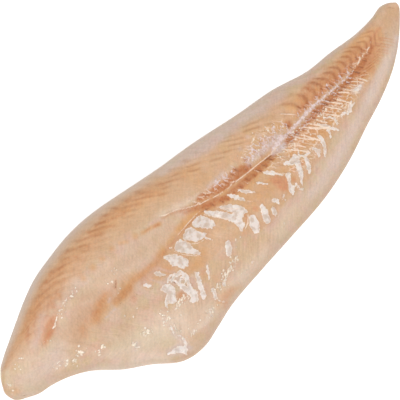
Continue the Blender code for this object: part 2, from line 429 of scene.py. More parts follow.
@dataclass(frozen=True)
class Stroke:
    """One mark, placed in millimetres as seen from above.

    A path of points (x, y, half-width) is a stroke, and one of points (x, y) is the outline of
    a patch. Softness and strength count only for the soft marks.
    """

    mark: Mark
    soft: float
    strength: float
    path: Path

    @property
    def closed(self) -> bool:
        """Whether it is a patch."""
        return len(self.path[0]) == 2

    def depth(self, x: np.ndarray, y: np.ndarray) -> np.ndarray:
        """How far inside the stroke each point is.

        Args:
            x: Places along the fillet.
            y: Places across it.

        Returns:
            Distances in millimetres, negative outside it.
        """
        deepest = np.full(x.shape, -np.inf)
        inside = np.zeros(x.shape, bool)
        count = len(self.path)
        for i in range(count if self.closed else max(count - 1, 1)):
            start, end = self.path[i], self.path[(i + 1) % count]
            run, rise = end[0] - start[0], end[1] - start[1]
            length = max(run * run + rise * rise, 1e-9)
            t = np.clip(((x - start[0]) * run + (y - start[1]) * rise) / length, 0.0, 1.0)
            away = np.hypot(x - start[0] - t * run, y - start[1] - t * rise)
            if self.closed:
                deepest = np.maximum(deepest, -away)
                crosses = (start[1] > y) != (end[1] > y)
                at = start[0] + (y - start[1]) * run / (rise if rise else 1e-9)
                inside ^= crosses & (x < at)
            else:
                deepest = np.maximum(deepest, start[2] + t * (end[2] - start[2]) - away)
        return np.where(inside, -deepest, deepest)


def brush(mark: Mark, soft: float, strength: float, *path: Point) -> Stroke:
    """A soft stroke or patch: how wide its edge is, how strong it is, and its points."""
    return Stroke(mark, soft, strength, path)


def pen(mark: Mark, *path: Point) -> Stroke:
    """A crisp stroke or patch through its points."""
    return Stroke(mark, 0.0, 1.0, path)


def spots(
    mark: Mark, radius: float, *places: Point, soft: float = 0.0, strength: float = 1.0
) -> list[Stroke]:
    """Round spots of one radius at places (x, y)."""
    return [Stroke(mark, soft, strength, ((*place, radius),)) for place in places]


def scatter(mark: Mark, seed: int, count: int, start: Point, end: Point) -> list[Stroke]:
    """Crisp specks of many sizes, thrown round a line.

    Args:
        mark: What each speck is.
        seed: Start of the random draws, so that each run throws them alike.
        count: How many specks.
        start: One end of the line: x, y and how far specks fly there.
        end: The other end.

    Returns:
        The specks, some of them drawn out along the way that the septa lean.
    """
    draw = random.Random(seed)
    found = []
    for _ in range(count):
        t = draw.random()
        x, y, reach = (a + t * (b - a) for a, b in zip(start, end))
        turn, far = draw.uniform(0, 2 * math.pi), reach * math.sqrt(draw.random())
        x, y = x + far * math.cos(turn), y + far * math.sin(turn)
        size, run = draw.uniform(0.18, 0.6), draw.choice((0.0, 0.5, 1.1))
        rise = draw.choice((-run, run))
        found.append(pen(mark, (x, y, size), (x + run, y + rise, size * 0.6)))
    return found


@dataclass(frozen=True)
class Region:
    """A part of the bone side: strokes placed one by one, and those that loops make."""

    placed: tuple[Stroke, ...] = ()
    bead_glint_clusters: tuple[Cluster, ...] = ()
    first_seed: int = 0

    def repeated(self) -> list[Stroke]:
        """Made by loops: painted highlights of water beads, thrown round the clusters' lines."""
        beads = []
        for i, (count, start, end) in enumerate(self.bead_glint_clusters):
            beads += scatter(GLINT, self.first_seed + i, count, start, end)
        return beads


@dataclass(frozen=True)
class FleshZones(Region):
    """Broad changes of colour, and where the flakes and fibres show."""

    blur: float = 5.0
    back: Path = (
        (-178, 21), (-165, 21), (-150, 24), (-130, 29), (-110, 30), (-85, 28), (-60, 25),
        (-40, 22), (-22, 18), (0, 14), (0, 36), (-30, 43), (-60, 48), (-90, 50), (-120, 47),
        (-150, 37), (-170, 27),
    )
    behind_back: Path = (
        (-12, 12), (10, 10), (40, 8), (70, 4), (125, 3), (150, 6), (166, 9), (166, 15), (150, 17),
        (140, 16.5), (130, 14.5), (112, 13), (100, 15), (80, 19), (60, 20), (40, 23), (20, 27),
        (0, 31), (-14, 33),
    )
    under: Path = (
        (-66, -1), (-50, 1.5), (-38, 3), (-20, 3), (0, 2), (30, 0), (60, 0), (90, 1), (125, 1),
        (150, 5), (166, 8), (163, 2), (158, -3), (150, -6), (142, -9), (135, -12), (120, -15),
        (100, -19), (90, -21), (80, -22), (70, -27), (60, -26), (50, -30), (40, -31), (20, -31),
        (10, -33), (0, -32), (-10, -26), (-25, -22), (-45, -22), (-58, -17), (-64, -10),
    )
    loin: Path = (
        (-175, 3), (-150, -3), (-120, 3), (-95, 7), (-60, 4), (-30, 6), (-22, 8), (-34, 14),
        (-60, 20), (-90, 25), (-118, 21), (-150, 13), (-172, 16),
    )
    belly_strip: Path = (
        (0, -36), (40, -35), (60, -31), (80, -27), (100, -23), (120, -19), (140, -13), (155, -8),
        (166, -1), (172, -4), (155, -13), (127, -24), (107, -30), (79, -38), (51, -43), (10, -45),
        (-10, -44),
    )
    placed: tuple[Stroke, ...] = (
        brush(TAN, blur, 0.8, *back),
        brush(OCHRE, blur, 0.3, *back),
        brush(OCHRE, 5, 0.4, (-158, 27, 2), (-140, 33, 4), (-118, 38, 4), (-100, 40, 3),
            (-75, 40, 3), (-50, 36, 3), (-30, 31, 2)),
        brush(OCHRE, 4, 0.4, *behind_back),
        brush(TAN, 4, 0.4, *behind_back),
        brush(OCHRE, 1.6, 0.42, *under),
        brush(TAN, 3, 0.3, *under),
        brush(PALE, blur, 0.2, *loin),
        brush(TAN, 7, 0.6, (-140, 10, 4), (-120, 12, 6), (-100, 14, 6), (-70, 12, 6),
            (-40, 10, 3)),
        brush(RUST, 8, 0.12, (-134, 10, 4), (-118, 14, 5), (-98, 17, 4)),
        brush(BROWN, 6, 0.15, (-134, 5, 4), (-118, 8, 6), (-104, 7, 4), (-90, 3, 3)),
        brush(PALE, 3, 0.35, *belly_strip),
        brush(LILAC, 3, 0.5, (40, -39, 2), (70, -35, 3), (110, -24, 3), (150, -11, 2)),
        brush(PALE, 3, 0.5, (120, -21, 2), (140, -15, 2), (156, -8, 2)),
        # tan and lilac along the back edge: painted shade where it rounds down, with greyer thin
        # flesh
        brush(TAN, 4, 0.75, (-178, 27, 4), (-150, 42, 5), (-100, 53, 7), (-60, 52, 7),
            (-20, 46, 6)),
        brush(TAN, 4, 0.35, (0, 44, 5), (60, 33, 3), (110, 23, 2), (150, 18, 2)),
        brush(BROWN, 6, 0.16, (-150, 31, 3), (-130, 35, 5), (-105, 37, 5), (-80, 38, 3)),
        brush(LILAC, 3, 0.45, (-175, 31, 1), (-150, 43, 1.5), (-100, 57, 2), (-60, 56, 2.5),
            (0, 46, 3), (60, 35, 3), (110, 24, 2.5), (150, 19, 1.5)),
        brush(LILAC, 4, 0.5, (-20, 40, 2), (0, 35, 4), (30, 31, 4), (60, 26, 4), (80, 23, 2)),
        brush(BROWN, 5, 0.2, (-166, 26, 2), (-150, 25, 4), (-144, 30, 4), (-134, 31, 2)),
        brush(OCHRE, 3, 0.75, (74, 12, 3), (90, 10, 4.5), (110, 9, 4), (128, 9, 4), (140, 10, 4.5),
            (150, 11, 4.5), (160, 10, 3)),
        brush(BROWN, 3.5, 0.5, (84, 9, 3), (92, 11, 4.5), (100, 10, 4.5), (110, 8, 4),
            (128, 8, 3.5), (142, 9, 3)),
        brush(GREEN, 3, 0.35, (88, 14, 2), (100, 13, 2), (118, 11, 2)),
        brush(BROWN, 2.5, 0.3, (86, 13, 1.5), (96, 14, 2), (108, 12, 2), (118, 12, 1.5)),
        brush(OCHRE, 2.5, 0.85, (124, -5, 5), (140, -3, 5), (152, 2, 4), (162, 7, 3)),
        brush(RUST, 3, 0.3, (128, -4, 3), (142, -2, 4), (154, 3, 3)),
        brush(BROWN, 3, 0.35, (122, -6, 3), (134, -4, 4), (146, 0, 3)),
        brush(OCHRE, 5, 0.4, (168, 9, 5), (186, 13, 3)),
        brush(STRIPE, 5, 0.7, (-165, 27, 3), (-140, 34, 5), (-100, 40, 9), (-60, 40, 8),
            (-20, 33, 7), (20, 22, 7), (60, 14, 6), (80, 12, 6)),
        brush(STRIPE, 4, 0.35, (-150, 36, 3), (-100, 48, 4), (-60, 48, 5), (0, 38, 5),
            (60, 27, 4)),
        brush(STRIPE, 5, 0.25, (-70, -30, 3), (-30, -28, 4), (0, -36, 5)),
        brush(STRIPE, 3, 1, (78, 12, 7), (110, 9, 5), (140, 9, 6), (158, 9, 5)),
        brush(STRIPE, 3, 0.6, (84, -10, 2), (110, -8, 4), (140, -4, 4), (158, 2, 3)),
        brush(STRIPE, 4, 0.2, (10, -38, 5), (60, -36, 6), (100, -26, 5), (140, -15, 4)),
        brush(GRAIN, 10, 0.7, (-150, 5, 60), (150, 0, 40)),
    )


@dataclass(frozen=True)
class HeadEnd(Region):
    """The cut end behind the head: tints, a red blotch and its painted bead highlights."""

    first_seed: int = 20
    bead_glint_clusters: tuple[Cluster, ...] = (
        (5, (-152.5, 16, 0.6), (-146, 13.5, 0.6)), (14, (-141, 17, 0.6), (-130, 21, 0.8)),
        (16, (-130, 21.5, 1), (-112, 25, 2)), (14, (-156, 1, 2.5), (-148, -4, 2.5)),
        (16, (-146, -6, 1.2), (-135, -3.5, 2)), (8, (-132, -14, 1.5), (-124, -12, 1.5)),
        (5, (-186, 6, 1), (-184, 16, 2)), (5, (-174, 16, 2), (-166, 19, 2)),
    )
    placed: tuple[Stroke, ...] = (
        brush(OCHRE, 2.5, 0.4, (-184, 8, 2)),
        brush(GREEN, 3, 0.7, (-183, 14, 2), (-179, 18, 2)),
        brush(GREEN, 3, 0.6, (-177, 4, 3)),
        pen(CREASE, (-184.5, 4.6, 0.1), (-182.6, 2.8, 0.2), (-181, 2, 0.05)),
        brush(PALE, 6, 0.3, (-180, 8, 4), (-165, 8, 8), (-150, 4, 7)),
        brush(LILAC, 6, 0.35, (-176, 4, 2), (-160, 2, 4), (-146, 6, 4)),
        brush(RUST, 1.5, 0.95, (-149.5, 15, 0.5), (-146.5, 16, 1.3), (-143, 16.8, 1.2),
            (-139, 18.6, 0.9), (-135, 20.4, 0.4)),
        brush(RUST, 1.2, 0.6, (-148, 18.6, 0.5), (-144, 20.5, 1), (-139, 21.5, 0.7),
            (-134, 22, 0.3)),
        brush(RUST, 1.3, 0.55, (-146, 22, 0.5), (-142.5, 24.5, 1), (-138, 25, 0.5)),
        brush(RUST, 4, 0.45, (-150, 17, 2), (-143, 20, 3), (-134, 22, 1.5)),
        brush(BROWN, 2, 0.35, (-149, 16, 0.8), (-144, 17.5, 1.6), (-137, 20.5, 0.8)),
        *spots(BROWN, 1.3, (-153, 25), (-147.5, 22.5), (-130.5, 28), (-124, 28.5), (-140, 27),
            soft=2.5, strength=0.3),
        brush(OCHRE, 4, 0.5, (-150, 15, 2), (-138, 21, 2), (-128, 22, 1)),
        brush(OCHRE, 3.5, 0.6, (-148, 17, 2.5), (-140, 20, 3)),
        brush(TAN, 7, 0.55, (-140, 4, 6), (-128, 4, 5)),
        brush(LILAC, 3, 0.35, (-156, 18, 1.5), (-150, 20, 2), (-140, 27, 2)),
        brush(BEAD_GLINTS, 1.2, 0.9, (-152.5, 15.5, 0.8)),
        brush(BEAD_GLINTS, 1.8, 0.9, (-136, 19, 0.8), (-115, 24, 2)),
        brush(BEAD_GLINTS, 2.5, 1, (-155, -2, 2.5), (-147, -5, 3), (-136, -4, 2.5)),
        brush(BEAD_GLINTS, 2, 0.9, (-132, -13, 1), (-126, -13, 1)),
        brush(BEAD_GLINTS, 3, 0.4, (-172, 17, 2), (-168, 18, 2)),
    )


@dataclass(frozen=True)
class BackStrip(Region):
    """The thick back above the pin-bone line, with its brown septa: how dark, and their points."""

    half_width: float = 1.0
    blur: float = 1.9
    darkest: float = 0.55
    septa: tuple[tuple, ...] = (
        (0.35, (-178, 22.5), (-170, 24.5)),
        (0.5, (-157, 22), (-155.5, 25), (-151, 28)),
        (0.6, (-150, 22.5), (-148, 26), (-143, 29)),
        (0.6, (-137, 25), (-133.5, 28.5), (-128, 31)),
        (0.7, (-131, 24.5), (-129, 28.5), (-122, 32)),
        (0.4, (-124, 26), (-121, 30), (-114, 33)),
        (0.45, (-151, 31), (-142, 31.5), (-134, 33.5)),
        (0.5, (-146, 35), (-136, 36), (-127, 35.5)),
        (0.5, (-137, 38.5), (-128, 38.5), (-118, 36.5)),
        (0.7, (-128, 41), (-118, 41.5), (-110, 39.5)),
        (0.6, (-118, 43.5), (-104, 41), (-98, 38), (-97, 34)),
        (0.7, (-106, 47), (-98, 44), (-92, 41), (-89, 38)),
        (0.55, (-90, 45), (-82, 41), (-77, 38)),
        (0.6, (-82, 44), (-74, 39.5), (-68, 36)),
        (0.95, (-76, 44.5), (-66, 40.5), (-58, 37)),
        (0.75, (-70, 46), (-60, 41.5), (-52, 37.5), (-45, 34.5)),
        (0.55, (-61, 45), (-50, 40.5), (-42, 36.5), (-36, 33.5)),
        (0.6, (-50, 43), (-41, 39), (-34, 34), (-31, 29)),
        (0.5, (-42, 43), (-33, 36.5), (-25, 32)),
        (0.45, (-33, 40), (-25, 34), (-18, 30), (-12, 27)),
        (0.3, (-20, 36), (-12, 31), (-4, 27)),
    )
    placed: tuple[Stroke, ...] = (
        brush(OCHRE, 4, 0.35, (-80, 42, 2), (-60, 39, 3), (-30, 32, 3)),
        brush(OCHRE, 2, 0.55, (-31.5, 29, 1.6)),
        *spots(OCHRE, 1.5, (-154, 25), (-131, 27), (-124, 28), (-105, 29), soft=2.5,
            strength=0.45),
    )

    def repeated(self) -> list[Stroke]:
        """The brown septa."""
        return [
            brush(BROWN, self.blur, self.darkest * shade, *((*at, self.half_width) for at in path))
            for shade, *path in self.septa
        ]


@dataclass(frozen=True)
class PinBoneLine(Region):
    """The row of pin-bone stubs, and the pale thread that runs on from it."""

    thread_half_width: float = 0.34
    thread: Path = (
        (-30, 14), (-26, 11.5), (-22, 9.5), (-18, 7.5), (-14, 6.5), (-10, 5.3), (-5, 3.5),
        (0, 2.6), (5, 2), (8, 2.8), (13, 1.5), (25, 0.3), (34, -0.5), (42, -0.8), (48, -0.5),
    )
    stubs: Path = (
        (-105, 25.5), (-96, 26), (-88, 25.5), (-79, 26), (-63, 21.5),
    )
    placed: tuple[Stroke, ...] = (
        *spots(OCHRE, 1.8, *stubs, soft=2, strength=0.7),
        brush(OCHRE, 1.5, 0.6, (-73, 25, 1), (-69, 22.5, 1.2)),
        brush(OCHRE, 1.6, 0.8, (-58, 19.7, 1.2), (-52, 18.3, 1.2)),
        brush(OCHRE, 1.5, 0.9, (-51, 17.7, 1.2), (-46, 16.3, 1.4)),
        brush(BROWN, 1, 0.5, (-56, 19.2, 0.3), (-53, 18.5, 0.3)),
        brush(BROWN, 1, 0.65, (-50, 17.4, 0.4), (-47, 16.5, 0.7)),
        brush(BROWN, 1.2, 0.5, (-42, 17.5, 0.4), (-38, 16.5, 0.5), (-34, 15, 0.5), (-31, 13, 0.8),
            (-24, 10.5, 0.9), (-20, 8.8, 1)),
        pen(CREAM, (-21.5, 13.5, 0.3), (-19, 10, 0.4), (-17, 7.5, 0.5)),
        pen(CREAM, (-42.5, 20, 0.3), (-40, 18, 0.4), (-36, 16.8, 0.3), (-30, 14.5, 0.3)),
        pen(CREASE, (-20.3, 10.5, 0.1), (-18.5, 8.6, 0.35)),
        pen(CREAM, (-12, 12, 0.2), (-9.5, 9.5, 0.35), (-7, 7.5, 0.2)),
        pen(CREAM, (7, 4.6, 0.2), (9.5, 2.6, 0.6), (10.5, 1.8, 0.2)),
        brush(PALE, 2.5, 0.55, (-40, 21, 2), (-24, 14, 1.5), (-14, 11.5, 1)),
    )

    def repeated(self) -> list[Stroke]:
        """The thread."""
        return [pen(CREAM, *((x, y, self.thread_half_width) for x, y in self.thread))]


@dataclass(frozen=True)
class CavityEdge(Region):
    """The loin's edge over the belly cavity, with old blood and painted shade along it."""

    placed: tuple[Stroke, ...] = (
        brush(RUST, 2.6, 0.4, (-129, 0.5, 1.2), (-128, 4.5, 1.5)),
        brush(OCHRE, 4, 0.4, (-130, 2, 2), (-124, 4, 2.5)),
        brush(BROWN, 2.6, 0.36, (-116.6, 2, 1.6), (-115, 5.6, 1.8)),
        brush(BROWN, 2.6, 0.3, (-112, 5, 1.2), (-108, 8.6, 1.6), (-103, 9, 1.2)),
        brush(OCHRE, 3, 0.85, (-117, 3, 3), (-110, 5, 3.6), (-103, 7.6, 2.6)),
        brush(RUST, 5, 0.25, (-120, 6, 2), (-98, 8, 2)),
        brush(OCHRE, 2.5, 0.5, (-92, 4, 1.2), (-86, 7.4, 1.2), (-80, 5.4, 1.4)),
        brush(TAN, 6, 0.7, (-135, 2, 5), (-115, 3, 6), (-95, 2, 4)),
        # the darker lines along the edge from here to x = -14 are partly old blood, partly painted
        # shade under the loin's overhang
        brush(BROWN, 2.4, 0.4, (-101, 1.4, 0.8), (-95, 0.8, 1.6), (-88, 1.6, 1)),
        brush(RUST, 3, 0.35, (-84, 3, 1.5), (-72, 1, 2.5), (-62, 0, 2)),
        brush(OCHRE, 2, 0.85, (-101, 1, 2), (-90, 1.5, 3), (-84, 3, 1.8), (-76, 1.6, 1.5),
            (-66, 1, 1.5), (-56, 1.6, 1.6)),
        brush(RUST, 1.3, 0.5, (-60, 1.6, 0.7), (-52, 2, 0.8), (-44, 2.2, 0.8), (-36, 2.8, 0.9),
            (-28, 3.4, 0.9), (-20, 3.2, 1), (-14, 1.6, 1.2)),
        pen(CREAM, (-43, 3.2, 0.1), (-34, 3.8, 0.25), (-26, 4.4, 0.2), (-20, 4.4, 0.1)),
        brush(OCHRE, 2.5, 0.7, (-60, 3, 1.5), (-36, 5, 2), (-20, 6, 2.5), (-10, 4, 2)),
        pen(CREASE, (-40, 1.6, -0.1), (-36, 2.6, 0), (-24, 3.2, 0.04), (-20, 3, 0.1),
            (-17.5, 2.5, 0.25), (-15, 1.5, 0.2)),
        brush(LILAC, 0.8, 0.7, (-113, -1, 0.3), (-104, -1.2, 0.4)),
        pen(CREASE, (-100, -1, 0.02), (-98, -1.5, 0.2), (-96, -2, 0.02)),
        brush(PALE, 1.5, 0.9, (-99, 3.5, 1.2), (-93.5, 4.5, 1.2)),
        pen(CREASE, (-95, 7, 0.3), (-92.5, 9, 0.38), (-91, 10.4, 0.25)),
        brush(RUST, 0.9, 0.7, (-95, 7.2, 0.5), (-91, 10.4, 0.4)),
        brush(PALE, 3, 0.4, (-97, 13, 3), (-84, 11, 3)),
        brush(LILAC, 1.2, 0.6, (-104, 4.6, 0.6), (-102, 5.4, 0.6)),
        brush(RUST, 2, 0.5, (-91, -5, 1.8)),
        pen(CREASE, (-89.6, -5.7, 0.05), (-88, -4.4, 0.2), (-86.8, -3.4, 0.05)),
        *spots(GLINT, 0.5, (-96, 4), (-93, 5), (-98, 3.2), (-52, 1.2), (-51, 0.6)),
        pen(CREASE, (-79.3, -7.5, 0.1), (-77.8, -8.6, 0.2)),
        brush(GREEN, 2, 0.5, (-71, -3, 1), (-67, -7, 1.5)),
        brush(RUST, 3, 0.3, (-78, -1, 1), (-72, -4, 2), (-62, -8, 2)),
        brush(OCHRE, 3, 0.5, (-80, -4, 2), (-62, -8, 3)),
    )


@dataclass(frozen=True)
class BackboneFlesh(Region):
    """The brown and orange flesh on both sides of the place of the backbone."""

    flecks_below: Path = (
        (-17, 3.4, 1.2), (-12, 2, 1.7), (-6, -0.6, 1.7), (-2, -2.4, 1.3), (4, -1.6, 1.3),
        (10, -2.6, 1.6), (17, -2.6, 1.8), (22, -3.2, 1.6), (27, -3.4, 2.2), (32, -3.6, 2),
        (38.5, -3, 2.2), (46.5, -3, 1), (57, -3.8, 2.2), (59.5, -1.5, 0.9), (64, -3.8, 1.8),
        (69, -4.2, 1.6), (74.5, -3.2, 1), (77, -2.6, 1.5), (81, -3.5, 1.6), (86, -2.6, 2.6),
        (90.5, -4.2, 1.5), (94.5, -2.2, 2.4), (98, -2, 1.8), (101, -4.4, 1.7), (104, -2.5, 1.8),
        (106.5, -4, 1.6), (110, -2.2, 1.8), (113.5, -3, 1.6), (117.5, -3, 1.9), (120.5, -2.5, 1.5),
        (128, -1.8, 2.6), (133, -1.2, 1.8), (139, 0, 1.4), (146, 2, 1.2),
    )
    flecks_above: Path = (
        (-15, 10.4, 1.3), (-11, 9.6, 1.5), (-7, 8, 1), (-3, 7.8, 1.7), (1, 6.8, 1.5), (5, 6, 1.3),
        (9, 5.6, 1.1), (12, 6.6, 1.7), (16, 7, 1.9), (25.5, 7.4, 1.5), (21, 3.4, 1.8),
        (24.5, 2.4, 1.3), (36, 2.2, 0.9), (34.8, 7.4, 1.2), (41.5, 8.4, 1), (50.5, 5, 1.2),
        (63.5, 4.6, 1.9), (79, 7.5, 1.4), (82, 5.8, 1.5), (85.5, 5.6, 1), (95.5, 4.2, 1.2),
        (100.5, 6, 1), (104.5, 3.8, 1.8), (108.5, 3.8, 1.5), (113.5, 3.6, 1.2), (118, 3.8, 1),
        (122, 3, 1.2), (128, 3.4, 1.5), (136, 4.6, 1.2), (144, 6, 1.2),
    )
    ray_half_width: float = 0.42
    ray_count: int = 32
    ray_start: float = 46.0
    ray_gap: float = 2.5
    hair_count: int = 15
    hair_start: float = 124.0
    hair_gap: float = 2.5
    placed: tuple[Stroke, ...] = (
        brush(BROWN, 1.5, 0.68, (-29, 10, 0.8), (-18, 5.6, 2.2), (-8, 1.6, 2.6), (-3, -1.2, 2.2),
            (3, -1.6, 2.6), (10, -2.4, 2.6), (20, -2.4, 2.8), (32, -2.8, 2.6), (42, -3, 1.8)),
        brush(OCHRE, 2.5, 0.9, (-40, 5, 2), (-25, 5, 3), (-10, 3, 4), (10, -3, 5), (42, -3, 4)),
        brush(BROWN, 1.6, 0.8, (-17, 10.2, 1), (-13, 9.6, 2), (-9, 7.6, 1.4), (-4, 6.8, 2.2),
            (4, 5.2, 2.2), (11, 4.6, 2.6), (16, 4.8, 2.8), (21, 3.8, 2.4), (25, 2.6, 1.2)),
        brush(BROWN, 1, 0.7, (-4, 4.6, 0.8), (4, 3.2, 0.8), (14, 2.4, 0.9), (24, 1.4, 0.6)),
        brush(BROWN, 1, 0.7, (-16, 4.4, 0.8), (-8, 1.6, 1.2), (-1, -1.4, 1)),
        brush(RUST, 3, 0.35, (-20, 9, 2), (0, 8, 3), (20, 6.6, 4)),
        brush(GREEN, 2, 0.6, (12, 9.5, 1.5), (18, 9.5, 2.2), (22, 7, 1.2)),
        brush(OCHRE, 3, 0.45, (28, 7, 2), (40, 8, 2), (55, 8, 3), (62, 8, 2)),
        brush(BROWN, 1.5, 0.85, (53, -3.5, 1.4), (58, -3, 2.4), (65, -2.8, 1.4), (70, -3.6, 1.6),
            (78, -3, 1.4), (86, -2.2, 2.6), (93, -2.2, 2), (101, -2.2, 2), (110, -2, 1.8),
            (119, -1.8, 1.8), (127, -1.6, 3), (135, -0.4, 2.2), (143, 1.6, 1.5), (152, 3.6, 1.3)),
        brush(BROWN, 1.8, 0.75, (65, 4.6, 2.4)),
        brush(RUST, 1.8, 0.8, (74, 5.4, 1.2), (80, 5.8, 1.8), (90, 5.4, 1.2), (100, 4.8, 1.4),
            (110, 4.2, 1.6), (120, 4, 1.8), (130, 4, 1.4), (140, 5, 1.3), (150, 6.4, 1.3),
            (158, 8.2, 1.2), (166, 9, 0.6)),
        brush(RUST, 1.3, 0.7, (158, 12, 1.2)),
        brush(OCHRE, 3, 0.6, (60, 5, 3), (90, 5, 3), (125, 5, 3), (150, 8, 3)),
        brush(RUST, 1.8, 0.85, (28, -12), (33, -14.5), (37, -19), (34, -24), (31.5, -27.5),
            (28, -24), (27, -18)),
        brush(OCHRE, 2, 0.6, (30, -14, 2), (33, -20, 3), (31, -25, 2)),
        brush(OCHRE, 2, 0.7, (-16, 8, 2), (-4, 8, 2), (10, 6, 2.5), (21, 6, 2.5)),
        brush(OCHRE, 2, 0.7, (86, -4.5, 2), (100, -4.6, 2), (119, -4, 2)),
        brush(BROWN, 2, 0.45, (86, -4.5, 2), (100, -4.6, 2), (119, -4, 2)),
        *spots(OCHRE, 2, (-15, 2), (78, -16), (78, -15), soft=2, strength=0.8),
        brush(OCHRE, 4, 0.5, (-8, -18, 2), (10, -14, 5), (25, -16, 6), (40, -14, 4)),
        *spots(OCHRE, 1.8, (7, -20), (44, -18), (52, -20), (67, -16), (78, -18), (40, -24),
            soft=1.6, strength=0.8),
        *spots(RUST, 1.6, (43.5, -19), (51.5, -20.5), (39, -24), (7, -19.5), soft=1.2,
            strength=0.7),
        pen(CREASE, (62, -1.5, 0.15), (64.5, -3.6, 0.3), (66, -4.4, 0.15)),
        pen(CREASE, (73, -2.6, 0.15), (75, -4, 0.3)),
        pen(CREASE, (59.5, 1.2, 0.4), (60.2, -1.2, 0.2)),
        pen(CREASE, (25.2, 3.4, 0.2), (26.5, 2.2, 0.3)),
        pen(CREASE, (35, -1.4, 0.2), (41.5, -2, 0.35)),
        pen(CREASE, (98, -12.5, 0.1), (101, -14, 0.3), (103, -15, 0.1)),
        brush(WEB, 2.5, 1, (46, -6, 5), (75, -8, 6), (95, -10.5, 5), (115, -9.5, 4.5),
            (130, -8, 3)),
        brush(WEB, 3, 1, (27, 7, 4), (40, 9, 6), (60, 8, 4)),
        brush(WEB, 2.5, 0.8, (34, -8, 3), (50, -9, 3)),
        brush(WEB, 2, 0.7, (70, 5, 1), (100, 4, 2), (125, 3, 2), (145, 4, 2)),
        brush(WEB, 2, 1, (-15, 10, 1.5), (0, 8, 3), (14, 8.5, 2.5)),
        *spots(OCHRE, 2.2, (20, 6), (126.5, -8), soft=2, strength=0.8),
        *spots(BROWN, 1.8, (20, 6), (126.5, -8), soft=2, strength=0.3),
        brush(RUST, 3, 0.35, (56, -9, 4), (80, -8, 5), (105, -7, 4)),
        brush(OCHRE, 3, 0.95, (52, -11, 4), (80, -11, 7), (100, -9, 6), (118, -7, 5),
            (136, -5, 4)),
        brush(BROWN, 4, 0.15, (60, -8, 3), (80, -9, 5), (100, -8, 5), (120, -7, 4)),
        brush(WEB, 2, 0.9, (42, -19, 2), (52, -20, 4), (68, -19, 4)),
        brush(WEB, 2, 0.9, (86, -16, 4), (104, -13, 3)),
    )

    def flecks(self) -> list[Stroke]:
        """Dark flecks at (x, y, size), each leaning like a septum and darkest in its middle."""
        found = []
        for x, y, size in self.flecks_below + self.flecks_above:
            top = (x - 0.3 * size, y + 0.7 * size)
            end = (x + 0.3 * size, y - 0.7 * size)
            found.append(brush(BROWN, 0.8, 0.8, (*top, 0.5 * size), (*end, 0.55 * size)))
            # a sunk line in the middle, darkened with painted shade
            found.append(pen(CREASE, (*top, 0.2 * size - 0.1), (*end, 0.28 * size - 0.1)))
        return found

    def rays(self) -> list[Stroke]:
        """Cream septa that cross the orange flesh behind the cavity, "\\" as seen in plan."""
        found = []
        for i in range(self.ray_count):
            x = self.ray_start + self.ray_gap * i + 0.8 * math.sin(2.1 * i)
            top = -1.2 - 2.5 * (i % 3 == 1)
            fall = 14.0 + 3.5 * math.sin(1.7 * i + 1.0) - 0.07 * (x - 50.0)
            lean = fall * (0.66 + 0.14 * math.cos(1.3 * i))
            half = self.ray_half_width * (0.75 + 0.65 * math.sin(2.9 * i + 0.5))
            middle = (x + 0.55 * lean, top - 0.5 * fall, half)
            end = (x + 1.1 * lean, top - fall, 0.1 + half)
            found.append(pen(CREAM, (x, top, 0.1), middle, end))
        return found

    def hairs(self) -> list[Stroke]:
        """Fine orange threads beside the line towards the tail."""
        found = []
        for i in range(self.hair_count):
            along = self.hair_gap * i
            high = -1.0 + 0.2 * along + 0.3 * math.sin(3.0 * i)
            low = -10.5 + 0.16 * along + math.sin(1.9 * i)
            x = self.hair_start + along
            end = (x + 0.8 * (high - low), low, 0.25)
            found.append(brush(RUST, 0.6, 0.9, (x, high, 0.3), end))
        return found

    def repeated(self) -> list[Stroke]:
        """The flecks, rays and hairs."""
        return [*self.flecks(), *self.rays(), *self.hairs()]


